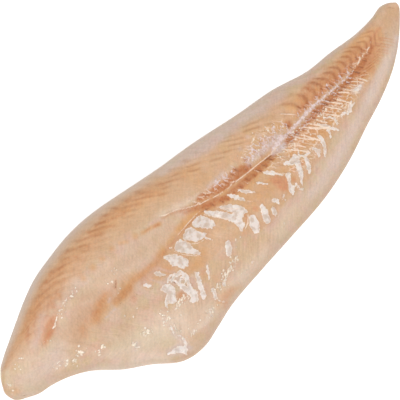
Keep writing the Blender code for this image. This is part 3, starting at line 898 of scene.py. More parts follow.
@dataclass(frozen=True)
class BackboneMembrane(Region):
    """The greyish lilac membrane that covered the backbone."""

    tuft_count: int = 26
    tuft_start: float = 46.0
    tuft_gap: float = 3.1
    gap_places: range = range(84, 124, 4)
    placed: tuple[Stroke, ...] = (
        pen(MEMBRANE, (43, -0.2, 0.3), (46, 0.4, 1), (50, 0.6, 1.3), (56, 1.2, 1.2),
            (60, 0.8, 0.6), (64, 0.6, 0.9), (70, 0.9, 1), (75, 1.5, 1.1), (80, 2, 1),
            (90, 1.9, 0.8), (100, 1.5, 0.4), (107, 1, 0.4), (115, 0.8, 0.3), (122, 0.5, 0.4),
            (126, 0, 0.2)),
        brush(LILAC, 1.8, 0.55, (24, 4, 0.4), (28, 4, 0.6), (31, 5, 1.4), (36, 3.5, 1),
            (46, 3.5, 1.4), (54, 3, 1.8)),
        *spots(MEMBRANE, 0.7, (31, 6), (36.5, 4.6), (40, 3), (44, 4.4), (47.6, 3.2), (51, 4.6),
            (34, 9), (43, 7.4), (49.6, 7), (28, 6.4), (53.4, 7.6)),
        brush(LILAC, 1.5, 0.85, (43, -2, 1.5), (48, -3, 2.2), (53, -2.5, 1.5)),
        *spots(LILAC, 1.2, (28, 15), (38, 17), (33, 12), (48, 9), (44, 12), soft=1.8,
            strength=0.55),
        brush(LILAC, 2, 0.5, (-5, 12, 1), (0, 11.5, 1.4), (8, 11, 1)),
        pen(MEMBRANE, (29, 4.5, 0.5), (30.5, 5, 0.7), (32, 6.6, 0.2)),
        pen(MEMBRANE, (50.5, 2, 0.3), (54, 3.2, 1.2), (57, 2.6, 0.4)),
        pen(CREAM, (126, 0.4, 0.4), (128, 0.6, 0.3)),
        pen(CREAM, (129.6, 0.4, 0.1), (131.4, 2.2, 0.3)),
        pen(CREAM, (132.6, 1.4, 0.2), (135, 2, 0.5), (138, 3.4, 0.5), (138.6, 4.4, 0.2)),
        pen(CREAM, (139.6, 2.2, 0.1), (141, 3.6, 0.35), (143, 3.6, 0.1)),
        pen(CREAM, (144.6, 3.2, 0.2), (147.5, 4.2, 0.4), (149.5, 4.6, 0.2)),
        pen(CREAM, (151.5, 5.2, 0.1), (153, 6.6, 0.3)),
        pen(CREAM, (65.7, 13.6, 0.15), (70, 9.2, 0.4), (75.7, 3.2, 0.2)),
        pen(CREAM, (71, -4, 0.3), (77, -10.4, 0.5), (83.5, -17, 0.9)),
        pen(CREAM, (60.5, -1.5, 0.2), (63, -4, 0.35), (67, -8.5, 0.15)),
        pen(CREAM, (54, -5, 0.2), (58, -10, 0.3), (61, -14, 0.12)),
        pen(CREAM, (25, -1, 0.3), (25.6, -3.4, 0.4), (26.6, -6, 0.15)),
        pen(CREAM, (14.6, -1.4, 0.15), (15, -4.6, 0.25)),
        # glints and beads of water here are painted highlight specks
        *spots(GLINT, 0.4, (36, -2.6), (32, 1.4), (44, 8), (38, 13), (50, 12), (42, 14), (26, 6),
            (29, 2), (53, 9.5), (47, 13.5), (35, 8.5), (40.5, 10), (127, 0.5)),
        brush(BEAD_GLINTS, 3, 0.35, (26, 10, 3), (40, 10, 5), (56, 9, 3)),
        brush(BEAD_GLINTS, 3, 0.45, (40, -7, 2), (60, -6, 4), (80, -6, 4), (110, -6, 4)),
    )

    def repeated(self) -> list[Stroke]:
        """Tufts that hang from the membrane and stand over it, dark gaps, and lace beside it."""
        found = []
        for i in range(self.tuft_count):
            x, y = self.tuft_start + self.tuft_gap * i, 1.2 + 0.7 * math.sin(2.3 * i)
            reach = 4.4 + 2.0 * math.sin(1.7 * i)
            lean = 2.0 + 1.2 * math.sin(2.9 * i)
            hanging = (x + 0.6 * lean, y - 0.6 * reach, 0.3), (x + lean, y - reach, 0.0)
            found.append(pen(MEMBRANE, (x, y, 0.45), *hanging))
            if i % 2:
                over = (x + 0.3 * lean, y + 0.55 * reach, 0.35)
                tip = (x + 0.8 * lean, y + 0.9 * reach, 0.05)
                found.append(pen(MEMBRANE, (x, y, 0.5), over, tip))
        # gaps between the tufts, darkened with painted shade
        for x in self.gap_places:
            found.append(pen(CREASE, (x + 0.8 * math.sin(x), 1.9, -0.05), (x + 0.9, -0.4, 0.14)))
        found += scatter(MEMBRANE, 60, 44, (25, 6.5, 2.5), (57, 7, 4.5))
        found += scatter(MEMBRANE, 61, 16, (-12, 9.5, 2), (16, 9, 2))
        return found


@dataclass(frozen=True)
class WetFilmGlare(Region):
    """Shining pieces of belly membrane over the flesh behind the ribs: pale, with painted glare.
    """

    rib_film_glares: tuple[Path, ...] = (
        ((-60, 1), (-57, 0), (-52.5, -3), (-49.5, -8), (-48, -11), (-51, -14.5), (-55, -13.5),
            (-56, -10), (-59, -7.5), (-58, -3)),
        ((-50, -0.5), (-46, 1), (-43, 0.5), (-41, -4), (-40.5, -8), (-39, -12), (-39.5, -15),
            (-43, -12), (-47, -7), (-50.5, -2.5)),
        ((-40, 1.5), (-35, 2), (-32, 1), (-31, -3), (-29, -6), (-27.5, -8), (-31, -9), (-36, -7.5),
            (-39, -4), (-41.5, -1)),
        ((-30.5, -9, 0.6), (-29, -11, 0.5), (-27.2, -13.6, 0.15)),
        ((-31, 2.5), (-25, 3), (-22, 2), (-20, -1.5), (-18.5, -5), (-19, -8), (-22, -8.5),
            (-25, -6.5), (-28, -3), (-30.5, 0)),
        ((-18.5, 1.5, 0.8), (-14, -4, 2.1), (-9.8, -10, 2.2), (-7.2, -15, 2.5), (-7, -20, 2.5),
            (-9.5, -22.5, 1)),
        ((-9, -2.5, 0.6), (-5, -7.5, 2.3), (-1.5, -12, 2.8), (1, -16, 1.2)),
        ((-8, -11), (-2, -11), (1, -16), (-2, -17), (-6, -19)),
        ((-80.5, -3, 0.5), (-79, -5, 1.1), (-77.6, -7, 0.7)),
        ((-70.5, -3, 0.7), (-68.5, -5, 1.5), (-66.4, -8, 0.6)),
        ((-77, -20, 1.2), (-80, -23.4, 0.7)),
        ((-68.4, -12.6, 0.5), (-65, -10.6, 0.4), (-61, -11.6, 0.6)),
        ((-66, -31.6, 1), (-63, -33.4, 1.2), (-61.6, -30, 1)),
        ((-75, -12.5), (-71, -12), (-68, -14), (-67, -18), (-70, -21), (-72, -25), (-74, -25.5),
            (-77, -23), (-76, -19), (-73.5, -17)),
        ((-66, -13.4, 0.9), (-62, -13, 1.1), (-57.4, -13.4, 1.1), (-56.6, -18, 1.2),
            (-59, -22, 1.1), (-61, -27, 1.9), (-61.5, -31, 2), (-66.5, -31.4, 0.5)),
        ((-64, -15, 0.8), (-63.4, -20, 1.4), (-62.5, -25, 2.2), (-61, -29, 2.4)),
        ((-64, -18, 0.7), (-58, -16.5, 0.8)),
        ((-62, -21, 0.6), (-58.5, -20, 0.7)),
    )
    belly_film_glares: tuple[Path, ...] = (
        ((-50.5, -21.5, 1.3), (-53, -26, 1.2), (-55, -30, 1.5), (-58, -35, 1.9)),
        ((-42, -22.5, 0.5), (-44.4, -26, 0.8), (-47.6, -30, 0.4)),
        ((-22, -22.5, 1.9), (-24, -25, 2.2), (-26.5, -27.5, 1.6)),
        ((-50.5, -36, 1.1), (-52, -39.5, 1.3), (-53.6, -42, 0.6), (-51.2, -47, 0.4)),
        ((-43, -39, 1.5),),
        ((-19, -42, 0.9),),
        ((-40, -37.5, 0.9),),
        ((0, -0.8, 0.6), (2.5, -5, 1.5), (5.6, -10.5, 0.8)),
        ((7, -3, 0.5), (10, -7, 1.3), (14, -11.4, 0.4)),
        ((20, -9, 0.8), (24, -14, 0.3)),
        ((28, -7, 0.8), (32, -11, 1.6), (34, -14, 0.5), (37, -18, 0.25)),
        ((38.5, -19.5, 1.9), (36, -23, 0.9), (33, -28.5, 1.7), (31.6, -30.6, 0.6)),
        ((35, -27, 0.8), (38.5, -27.8, 0.6)),
        ((42.5, -12.5, 0.9), (46.5, -15, 1.8), (50.6, -14.8, 2.6), (48.4, -19.5, 2),
            (46, -24, 1.8), (43, -28, 0.9), (40.6, -31, 0.4)),
        ((52.6, -15, 0.7), (56.4, -18.4, 0.5), (60.4, -18, 1.2)),
        ((56, -20, 1.2), (53.2, -25, 1.6), (50.4, -28.2, 0.8)),
        ((65, -18.5, 1), (66, -22, 1.6), (64.3, -24.6, 1)),
        ((74, -15.5, 1.1), (73.5, -19, 1.6), (72, -23, 1.3), (69, -26, 0.9), (66.8, -27.4, 0.4)),
        ((79.5, -9.6, 0.5), (83, -14.5, 1.5), (85, -18.4, 1), (87.4, -21.6, 0.6)),
        ((86, -9, 0.3), (90, -11.8, 0.7), (91, -14.4, 0.9), (90, -18.4, 0.5)),
        ((82.4, -15, 0.9), (81.6, -18, 0.8), (79.6, -21.4, 0.4)),
        ((95, -17.4, 0.4), (98, -15.4, 0.7), (100.4, -17.2, 0.5)),
        ((103, -19, 0.3), (106, -16.6, 0.6), (110, -16, 0.4)),
        ((38.8, -27, 0.6), (37.6, -30, 0.8), (39.4, -33, 0.5)),
        ((55.6, -12.6, 0.3), (54, -15.4, 0.8), (56.4, -18.4, 0.6)),
        ((1.2, -22.6, 2.4), (-0.6, -26, 3.4), (-2.6, -29.4, 2.2)),
        ((11.2, -21, 1.1), (10, -25, 2.1), (7.2, -30, 2.4)),
        ((15.6, -27.4, 1.1), (14.4, -30.6, 1.6)),
        ((19, -23.5, 0.9), (21, -26, 1.3), (20.5, -29, 0.4)),
        ((25, -27.5, 0.7),),
        ((27, -26.5, 0.7),),
        ((25.4, -29.2, 0.7),),
        ((82, -17, 1.3),),
        ((99, -16, 1.3),),
        ((101, -18, 0.8), (105, -16, 1.1), (109, -14, 0.7)),
        ((116, -10, 0.8), (119.6, -11, 1.5), (123, -10.4, 0.6)),
    )
    placed: tuple[Stroke, ...] = (
        pen(CREAM, (100.4, -14, 0.2), (101.4, -11.6, 0.35), (104.4, -12, 0.3), (106, -14.2, 0.35),
            (103.6, -15.8, 0.3)),
        brush(LILAC, 1.2, 0.5, (-79, -3, 0.9), (-77.5, -6, 0.9)),
        brush(LILAC, 1.2, 0.45, (-75, -4, 0.6), (-70, -12, 0.8)),
        brush(LILAC, 1.2, 0.45, (-66, -3, 0.5), (-61, -11, 0.8)),
        brush(LILAC, 2, 0.4, (-66, -12, 2), (-60, -16, 3)),
        brush(LILAC, 2, 0.7, (116, -10, 2), (121, -11, 2.4), (125, -10, 1.2)),
        brush(BROWN, 1.8, 0.4, (-68, -25, 2.4)),
        brush(OCHRE, 1.8, 0.7, (-68, -25, 2.8)),
        pen(CREASE, (-65.2, -14.6, 0.3), (-64.8, -16.4, 0.4)),
        pen(CREASE, (-60.4, -16.6, 0.2), (-59.4, -17.4, 0.25)),
        pen(CREASE, (-61, -22, 0.15), (-60, -21.6, 0.2)),
        pen(CREAM, (-51.4, -2, 0.15), (-48, -7.5, 0.3), (-43.5, -12.6, 0.3), (-40, -15.4, 0.2)),
        pen(CREAM, (-42.6, -0.5, 0.15), (-40, -5.6, 0.3), (-36.5, -8.6, 0.25), (-31, -10, 0.2)),
        pen(CREAM, (-20.6, 1.6, 0.2), (-16.5, -4, 0.3), (-12, -9.6, 0.25), (-9.6, -14, 0.15)),
        pen(CREAM, (-11, -1, 0.15), (-6, -7, 0.3), (0, -13, 0.2)),
        pen(CREAM, (6.6, -12, 0.2), (9, -15, 0.1)),
        pen(CREAM, (1, -18.6, 0.2), (-3.4, -22.6, 0.5), (-8, -24, 0.2)),
        brush(RUST, 1, 0.6, (-0.4, -16.6, 0.7), (-2.4, -21, 0.9)),
        pen(CREAM, (28, -6, 0.15), (34, -13, 0.3), (38.4, -18, 0.3), (36, -23, 0.2)),
        pen(CREAM, (52, -14, 0.2), (56, -18.6, 0.35), (60, -19.6, 0.2)),
    )

    def repeated(self) -> list[Stroke]:
        """The films along the cavity's edge, and those further down."""
        return [pen(FILM_AND_GLARE, *path) for path in self.rib_film_glares + self.belly_film_glares]


@dataclass(frozen=True)
class BellyFlap(Region):
    """The thin belly wall under the cavity: tints, smears and clusters of painted bead highlights.
    """

    bead_glint_clusters: tuple[Cluster, ...] = (
        (14, (-114, -25, 2), (-109, -27, 2.5)), (16, (-104, -24, 1.5), (-97, -26, 2.5)),
        (5, (-104, -8, 3), (-100, -12, 2)), (14, (-88, -29, 1.5), (-82, -28, 2)),
        (14, (-88, -33, 1.5), (-86, -40, 3)), (6, (-88, -17, 2), (-84, -26, 3)),
        (24, (-77, -28, 1), (-67, -27, 3)), (12, (-82, -46, 1.5), (-76, -47, 1.5)),
        (14, (-66, -46, 3), (-57, -44, 2)), (44, (-41, -36, 1.5), (-24, -33, 2.5)),
        (16, (-50, -36, 2.5), (-43, -39, 3)), (6, (-30, -42, 3), (-16, -42, 2)),
        (6, (-24, -27, 3), (-13, -26, 2)), (5, (-5, -37, 3), (16, -41, 2)),
    )
    placed: tuple[Stroke, ...] = (
        brush(PALE, 8, 0.7, (-120, -22, 4), (-105, -30, 8), (-85, -35, 9), (-70, -38, 7),
            (-58, -46, 4), (-30, -44, 4), (-10, -43, 3)),
        brush(TAN, 6, 0.5, (-112, -15, 5), (-95, -10, 5)),
        brush(GREEN, 6, 0.55, (-120, -18, 5), (-105, -24, 6), (-94, -40, 6)),
        brush(PALE, 4, 0.6, (-140, -20, 2), (-120, -34, 3), (-104, -46, 3)),
        brush(TAN, 6, 0.45, (-70, -38, 6), (-40, -30, 5), (-20, -32, 5), (0, -40, 5)),
        brush(OCHRE, 3, 0.5, (-55, -17, 2), (-44, -17, 4), (-38, -16, 3)),
        brush(PALE, 4, 0.5, (-40, -18, 2), (-26, -16, 4), (-14, -18, 3)),
        brush(RUST, 2.5, 0.55, (-53, -50, 1.2), (-48, -46, 2.2), (-42, -45, 1.6)),
        brush(RUST, 1.8, 0.35, (-50, -28, 1), (-48, -24, 1.2)),
        brush(OCHRE, 3, 0.5, (-56, -46, 2), (-48, -44, 3), (-38, -47, 2)),
        brush(RUST, 1.8, 0.45, (-10, -26, 1.4)),
        brush(RUST, 1.5, 0.35, (-44, -26, 0.8), (-46, -24, 0.8)),
        brush(OCHRE, 2.5, 0.4, (-48, -25, 1.6), (-44, -33, 1.4)),
        brush(LILAC, 2.5, 0.75, (-99, -46, 1), (-92, -49, 2), (-88, -52, 1.4)),
        brush(LILAC, 2, 0.6, (-88.5, -37, 1), (-88, -45, 1.4)),
        pen(FILM_AND_GLARE, (-100.6, -44.6, 0.5), (-97, -45.6, 1.2), (-94, -47.4, 2), (-91.4, -49.4, 2.4),
            (-92, -52.2, 0.9)),
        pen(FILM_AND_GLARE, (-86.4, -33.5, 0.5), (-88, -36.5, 0.6), (-88.8, -38.6, 0.4)),
        pen(FILM_AND_GLARE, (-87.6, -40.6, 0.3), (-86.6, -44, 0.8), (-88, -48.6, 0.9)),
        brush(PALE, 1.6, 0.7, (-86.6, -34, 1.2), (-87.6, -41, 1.6), (-88, -48, 2)),
        brush(PALE, 1.8, 0.6, (-79, -46, 1.5), (-68, -47.5, 1.5), (-58, -44.5, 1.5)),
        brush(PALE, 1.4, 0.6, (-41.5, -22, 1), (-44, -27, 1.2), (-47, -31, 0.6)),
        brush(LILAC, 2.5, 0.8, (-99, -44, 1.5), (-93, -47, 3), (-89, -49, 2)),
        brush(LILAC, 2.5, 0.5, (-110, -26, 1.5), (-113, -28, 1)),
        brush(BEAD_GLINTS, 3, 0.9, (-114, -25, 2.5), (-98, -24, 3)),
        brush(BEAD_GLINTS, 2, 1, (-40, -36, 2), (-25, -32, 2)),
        brush(BEAD_GLINTS, 1.6, 1, (-77, -28, 2), (-66, -27, 2)),
        brush(BEAD_GLINTS, 3, 0.9, (-86, -47, 3), (-60, -46, 3)),
        brush(BEAD_GLINTS, 2, 0.9, (-50, -38, 2), (-42, -38, 2.5)),
        brush(BEAD_GLINTS, 3, 0.8, (-90, -28, 2), (-82, -31, 2.5)),
        brush(BEAD_GLINTS, 2.5, 0.5, (-95, 12, 2), (-88, 14, 2)),
        brush(BEAD_GLINTS, 3, 0.45, (-100, -10, 1), (-86, -18, 2)),
        brush(GRAIN, 5, 0.8, (-60, -30, 8), (0, -40, 6)),
    )


@dataclass(frozen=True)
class TailEnd(Region):
    """The thin tail, greyish towards its belly edge."""

    placed: tuple[Stroke, ...] = (
        brush(LILAC, 2.2, 0.55, (145, -17, 1), (158, -11, 1.6), (170, -4, 1.6)),
        brush(LILAC, 1.4, 0.6, (170, -4, 0.8)),
        pen(CREASE, (181, 16.4, 0.05), (183.6, 14.4, 0.15), (186, 12.2, 0.05)),
        brush(TAN, 4, 0.6, (160, 2, 3), (172, 5, 5), (184, 13, 4)),
        brush(PALE, 2, 0.5, (186, 14, 1.5), (190, 13, 2)),
    )


REGIONS: tuple[Region, ...] = (
    FleshZones(), HeadEnd(), BackStrip(), PinBoneLine(), CavityEdge(), BackboneFlesh(),
    BackboneMembrane(), WetFilmGlare(), BellyFlap(), TailEnd(),
)  # fmt: skip


def paint(x: np.ndarray, y: np.ndarray, on_top: np.ndarray) -> dict[Mark, np.ndarray]:
    """Paints every region's strokes on the bone side.

    Args:
        x: Places along the fillet, one for each vertex.
        y: Places across it.
        on_top: True for the vertices of the bone side and its edges.

    Returns:
        For each mark one value a vertex: how far inside the mark it is, in millimetres, for
        the crisp ones, and how strong the mark is, from 0 to 1, for the others.
    """
    fields = {
        mark: np.full(x.shape, -CRISP_REACH if mark in CRISP_HEIGHTS else 0.0) for mark in Mark
    }
    for region in REGIONS:
        strokes = [*region.placed, *region.repeated()]
        for stroke in strokes:
            crisp = stroke.mark in CRISP_HEIGHTS
            margin = CRISP_REACH if crisp else stroke.soft
            corners = np.array([point[:2] for point in stroke.path], float)
            if not stroke.closed:
                margin += max(point[2] for point in stroke.path)
            low, high = corners.min(axis=0) - margin, corners.max(axis=0) + margin
            near = on_top & (x > low[0]) & (x < high[0]) & (y > low[1]) & (y < high[1])
            depth = stroke.depth(x[near], y[near])
            field = fields[stroke.mark]
            if crisp:
                field[near] = np.maximum(field[near], np.clip(depth, -CRISP_REACH, CRISP_REACH))
            else:
                value = stroke.strength * ease(depth, -stroke.soft, stroke.soft)
                field[near] = 1 - (1 - field[near]) * (1 - value)
        LOG.info("%s: %d strokes", type(region).__name__, len(strokes))
    return fields


# ---------------------------------------------------------------- nodes


class Graph:
    """Adds and links the nodes of one material or node group."""

    def __init__(self, tree: bpy.types.NodeTree) -> None:
        """Works on a tree. Its patterns take their places from where, once that is set."""
        self.tree = tree
        self.where: Socket | None = None

    def feed(self, socket: Socket, value: object) -> None:
        """Links a socket, or sets its value.

        Args:
            socket: The input socket.
            value: An output socket or a value. A colour has no alpha, which is set to 1.
        """
        if isinstance(value, bpy.types.NodeSocket):
            self.tree.links.new(value, socket)
        else:
            socket.default_value = (*value, 1.0) if socket.type == "RGBA" else value

    def node(self, kind: str, inputs: dict | None = None, **settings: object) -> bpy.types.Node:
        """Adds a node.

        Args:
            kind: Its type, without the leading ShaderNode.
            inputs: Values or sockets for its inputs, by name or number.
            **settings: The node's own properties.

        Returns:
            The node.
        """
        made = self.tree.nodes.new("ShaderNode" + kind)
        for name, value in settings.items():
            setattr(made, name, value)
        for name, value in (inputs or {}).items():
            self.feed(made.inputs[name], value)
        return made

    def math(self, operation: str, *values: object) -> Socket:
        """The result of a Math node on one to three values or sockets."""
        return self.node("Math", dict(enumerate(values)), operation=operation).outputs[0]

    def times(self, value: object, factor: object) -> Socket:
        """The product of two values or sockets."""
        return self.math("MULTIPLY", value, factor)

    def rest(self, value: object) -> Socket:
        """What a value leaves of one."""
        return self.math("SUBTRACT", 1.0, value)

    def greatest(self, *values: Socket) -> Socket:
        """The greatest of some values."""
        first, *others = values
        return self.math("MAXIMUM", first, self.greatest(*others)) if others else first

    def mix(self, factor: object, low: object, high: object, blend: str = "MIX") -> Socket:
        """A colour between two, by a factor."""
        inputs = {0: factor, 6: low, 7: high}
        return self.node("Mix", inputs, data_type="RGBA", blend_type=blend).outputs[2]

    def between(self, factor: Socket, low: object, high: object) -> Socket:
        """A number between two, by a factor."""
        return self.node("Mix", {0: factor, 2: low, 3: high}).outputs[0]

    def step(self, value: object, start: object, end: object) -> Socket:
        """Rises smoothly from 0 to 1 while a value goes from start to end."""
        inputs = {"Value": value, "From Min": start, "From Max": end}
        return self.node("MapRange", inputs, interpolation_type="SMOOTHSTEP").outputs[0]

    def noise(self, scale: object, detail: float = 2.0, where: Socket | None = None) -> Socket:
        """Noise from 0 to 1, on the graph's own places unless others are given."""
        inputs = {"Vector": where or self.where, "Scale": scale, "Detail": detail}
        return self.node("TexNoise", inputs).outputs[0]

    def clouds(self, scale: float, thin: float, thick: float, shift: float = 0.0) -> Socket:
        """Soft clouds.

        Args:
            scale: Scale of the noise.
            thin: Below this noise there is no cloud.
            thick: Above this noise the cloud is full.
            shift: How far the noise is moved, so that two clouds differ.

        Returns:
            The cloud, from 0 to 1.
        """
        moved = {"Vector": self.where, "Location": (shift,) * 3}
        places = self.node("Mapping", moved).outputs[0] if shift else None
        return self.step(self.noise(scale, 3.0, places), thin, thick)

    def bent(self, scale: float, reach: float) -> Socket:
        """Pushes the graph's places about, so that a pattern on them isn't regular.

        Args:
            scale: Scale of the noise that pushes them.
            reach: How far it pushes.

        Returns:
            The new places.
        """
        bend = self.node("TexNoise", {"Vector": self.where, "Scale": scale, "Detail": 3.0})
        inputs = {0: bend.outputs["Color"], 1: (reach, reach, 0.0), 2: self.where}
        return self.node("VectorMath", inputs, operation="MULTIPLY_ADD").outputs[0]

    def leaning(self, where: Socket, degrees: float, scale: Point) -> Socket:
        """Turns places about the vertical and draws a pattern on them out.

        Args:
            where: The places.
            degrees: How far they turn.
            scale: How far the pattern is drawn out along each of its own axes.

        Returns:
            The new places.
        """
        turn = (0.0, 0.0, math.radians(degrees))
        inputs = {"Vector": where, "Rotation": turn, "Scale": scale}
        return self.node("Mapping", inputs, vector_type="TEXTURE").outputs[0]

    def attribute(self, mark: Mark) -> Socket:
        """The value of a mark on the mesh."""
        return self.node("Attribute", attribute_name=mark.value).outputs["Fac"]

    def group(self, tree: bpy.types.NodeTree, **inputs: object) -> bpy.types.NodeOutputs:
        """Places a node group.

        Args:
            tree: The group's tree.
            **inputs: Its inputs, besides Where, which takes the graph's own places.

        Returns:
            Its output sockets.
        """
        made = self.node("Group", node_tree=tree)
        for name, value in {"Where": self.where, **inputs}.items():
            self.feed(made.inputs[name], value)
        return made.outputs


SOCKET_KINDS = {"Where": "Vector", "Map": "Vector", "Colour": "Color", "Stain": "Color"}


def new_group(
    name: str, inputs: tuple[str, ...], outputs: tuple[str, ...]
) -> tuple[Graph, bpy.types.NodeOutputs, bpy.types.NodeInputs]:
    """Starts a node group.

    Args:
        name: The group's name.
        inputs: Names of its input sockets, besides Where, which every group has.
        outputs: Names of its output sockets.

    Returns:
        The group's graph, the sockets that bring its inputs, and those that take its outputs.
    """
    tree = bpy.data.node_groups.new(name, "ShaderNodeTree")
    for direction, labels in (("INPUT", ("Where", *inputs)), ("OUTPUT", outputs)):
        for label in labels:
            kind = "NodeSocket" + SOCKET_KINDS.get(label, "Float")
            tree.interface.new_socket(label, in_out=direction, socket_type=kind)
    graph = Graph(tree)
    given = tree.nodes.new("NodeGroupInput").outputs
    graph.where = given["Where"]
    return graph, given, tree.nodes.new("NodeGroupOutput").inputs


class Effects:
    """The node groups that the flesh is built from, each made once."""

    def __init__(self) -> None:
        """Builds the groups."""
        self.stain = self.stain_group()
        self.crisp = self.crisp_group()
        self.flakes = self.flake_group()
        self.beads = self.bead_glint_group()
        self.web = self.web_group()

    def stain_group(self) -> bpy.types.NodeTree:
        """Lays one colour over another by a soft mask that noise breaks up."""
        inputs = ("Colour", "Stain", "Amount", "Patchiness", "Scale")
        graph, given, out = new_group("soft_stain", inputs, ("Colour",))
        cloud = graph.math("SUBTRACT", graph.noise(given["Scale"], 5.0), 0.5)
        rough = graph.times(graph.times(cloud, 4.0), given["Patchiness"])
        amount = graph.times(given["Amount"], graph.math("ADD", rough, 1.0))
        amount = graph.node("Clamp", {"Value": amount}).outputs[0]
        graph.feed(out["Colour"], graph.mix(amount, given["Colour"], given["Stain"]))
        return graph.tree

    def crisp_group(self) -> bpy.types.NodeTree:
        """Turns a distance in millimetres into a mask with a ragged edge, and its rim."""
        inputs = ("Inside", "Edge", "Ragged", "Scale")
        graph, given, out = new_group("crisp_edge", inputs, ("Mask", "Rim"))
        wander = graph.math("SUBTRACT", graph.noise(given["Scale"], 4.0), 0.5)
        inside = graph.math("MULTIPLY_ADD", wander, given["Ragged"], given["Inside"])
        back, far = graph.times(given["Edge"], -1.0), graph.times(given["Edge"], 2.5)
        graph.feed(out["Mask"], graph.step(inside, back, given["Edge"]))
        graph.feed(out["Rim"], graph.rest(graph.step(graph.math("ABSOLUTE", inside), 0.0, far)))
        return graph.tree

    def flake_group(self) -> bpy.types.NodeTree:
        """Septa and fibres, drawn in the flesh's own map: flake number along, line across."""
        inputs, outputs = ("Map", "Wander", "Septum"), ("Septum", "Band", "Fibres")
        graph, given, out = new_group("flakes", inputs, outputs)
        number, across = graph.node("SeparateXYZ", {0: given["Map"]}).outputs[:2]
        wander = graph.math("SUBTRACT", graph.noise(0.11), 0.5)
        wandering = graph.math("MULTIPLY_ADD", wander, given["Wander"], number)
        middle = graph.math("SUBTRACT", graph.math("FRACT", wandering), 0.5)
        near = graph.math("SUBTRACT", 0.5, graph.math("ABSOLUTE", middle))
        graph.feed(out["Septum"], graph.rest(graph.step(near, 0.0, given["Septum"])))
        turn = graph.math("COSINE", graph.times(wandering, 2 * math.pi))
        wave = graph.math("MULTIPLY_ADD", turn, 0.5, 0.5)
        graph.feed(out["Band"], graph.math("POWER", wave, 1.7))
        stretched = {0: graph.times(number, 9.0), 1: graph.times(across, 2.2)}
        along = graph.node("CombineXYZ", stretched).outputs[0]
        graph.feed(out["Fibres"], graph.noise(1.0, 3.0, along))
        return graph.tree

    def bead_glint_group(self) -> bpy.types.NodeTree:
        """Small round beads of water, painted as highlight specks, where a mask lets them be."""
        graph, given, out = new_group("beads", ("Amount", "Scale"), ("BeadGlint",))
        inputs = {"Vector": graph.bent(0.6, 1.6), "Scale": given["Scale"]}
        cells = graph.node("TexVoronoi", inputs, voronoi_dimensions="2D").outputs
        chance, width = graph.node("SeparateColor", {0: cells["Color"]}).outputs[:2]
        limit = graph.rest(graph.times(given["Amount"], 0.75))
        there = graph.math("GREATER_THAN", chance, limit)
        size = graph.math("MULTIPLY_ADD", width, 0.28, 0.2)
        dome = graph.rest(graph.step(cells["Distance"], 0.08, size))
        graph.feed(out["BeadGlint"], graph.times(dome, there))
        return graph.tree

    def web_group(self) -> bpy.types.NodeTree:
        """Thin crossing threads, thicker in some places and broken in others."""
        graph, given, out = new_group("thread_web", ("Amount", "Scale"), ("Thread",))
        lean = graph.leaning(graph.bent(0.45, 3.2), -52.0, (1.9, 0.8, 1.0))
        away = graph.node(
            "TexVoronoi",
            {"Vector": lean, "Scale": given["Scale"]},
            feature="DISTANCE_TO_EDGE",
            voronoi_dimensions="2D",
        ).outputs[0]
        thread = graph.rest(graph.step(away, 0.0, graph.times(graph.noise(0.3), 0.3)))
        thread = graph.times(thread, graph.clouds(0.33, 0.36, 0.5))
        graph.feed(out["Thread"], graph.times(thread, given["Amount"]))
        return graph.tree


@dataclass(frozen=True)
class StainFinish:
    """One soft colour of the flesh: its mark, its colour and how noise breaks it up."""

    mark: Mark
    colour: Colour
    patchiness: float
    scale: float


@dataclass(frozen=True)
class CrispFinish:
    """One crisp mark: how its edge is drawn, and how high it stands, in millimetres."""

    mark: Mark
    edge: float
    ragged: float
    scale: float
    relief: float


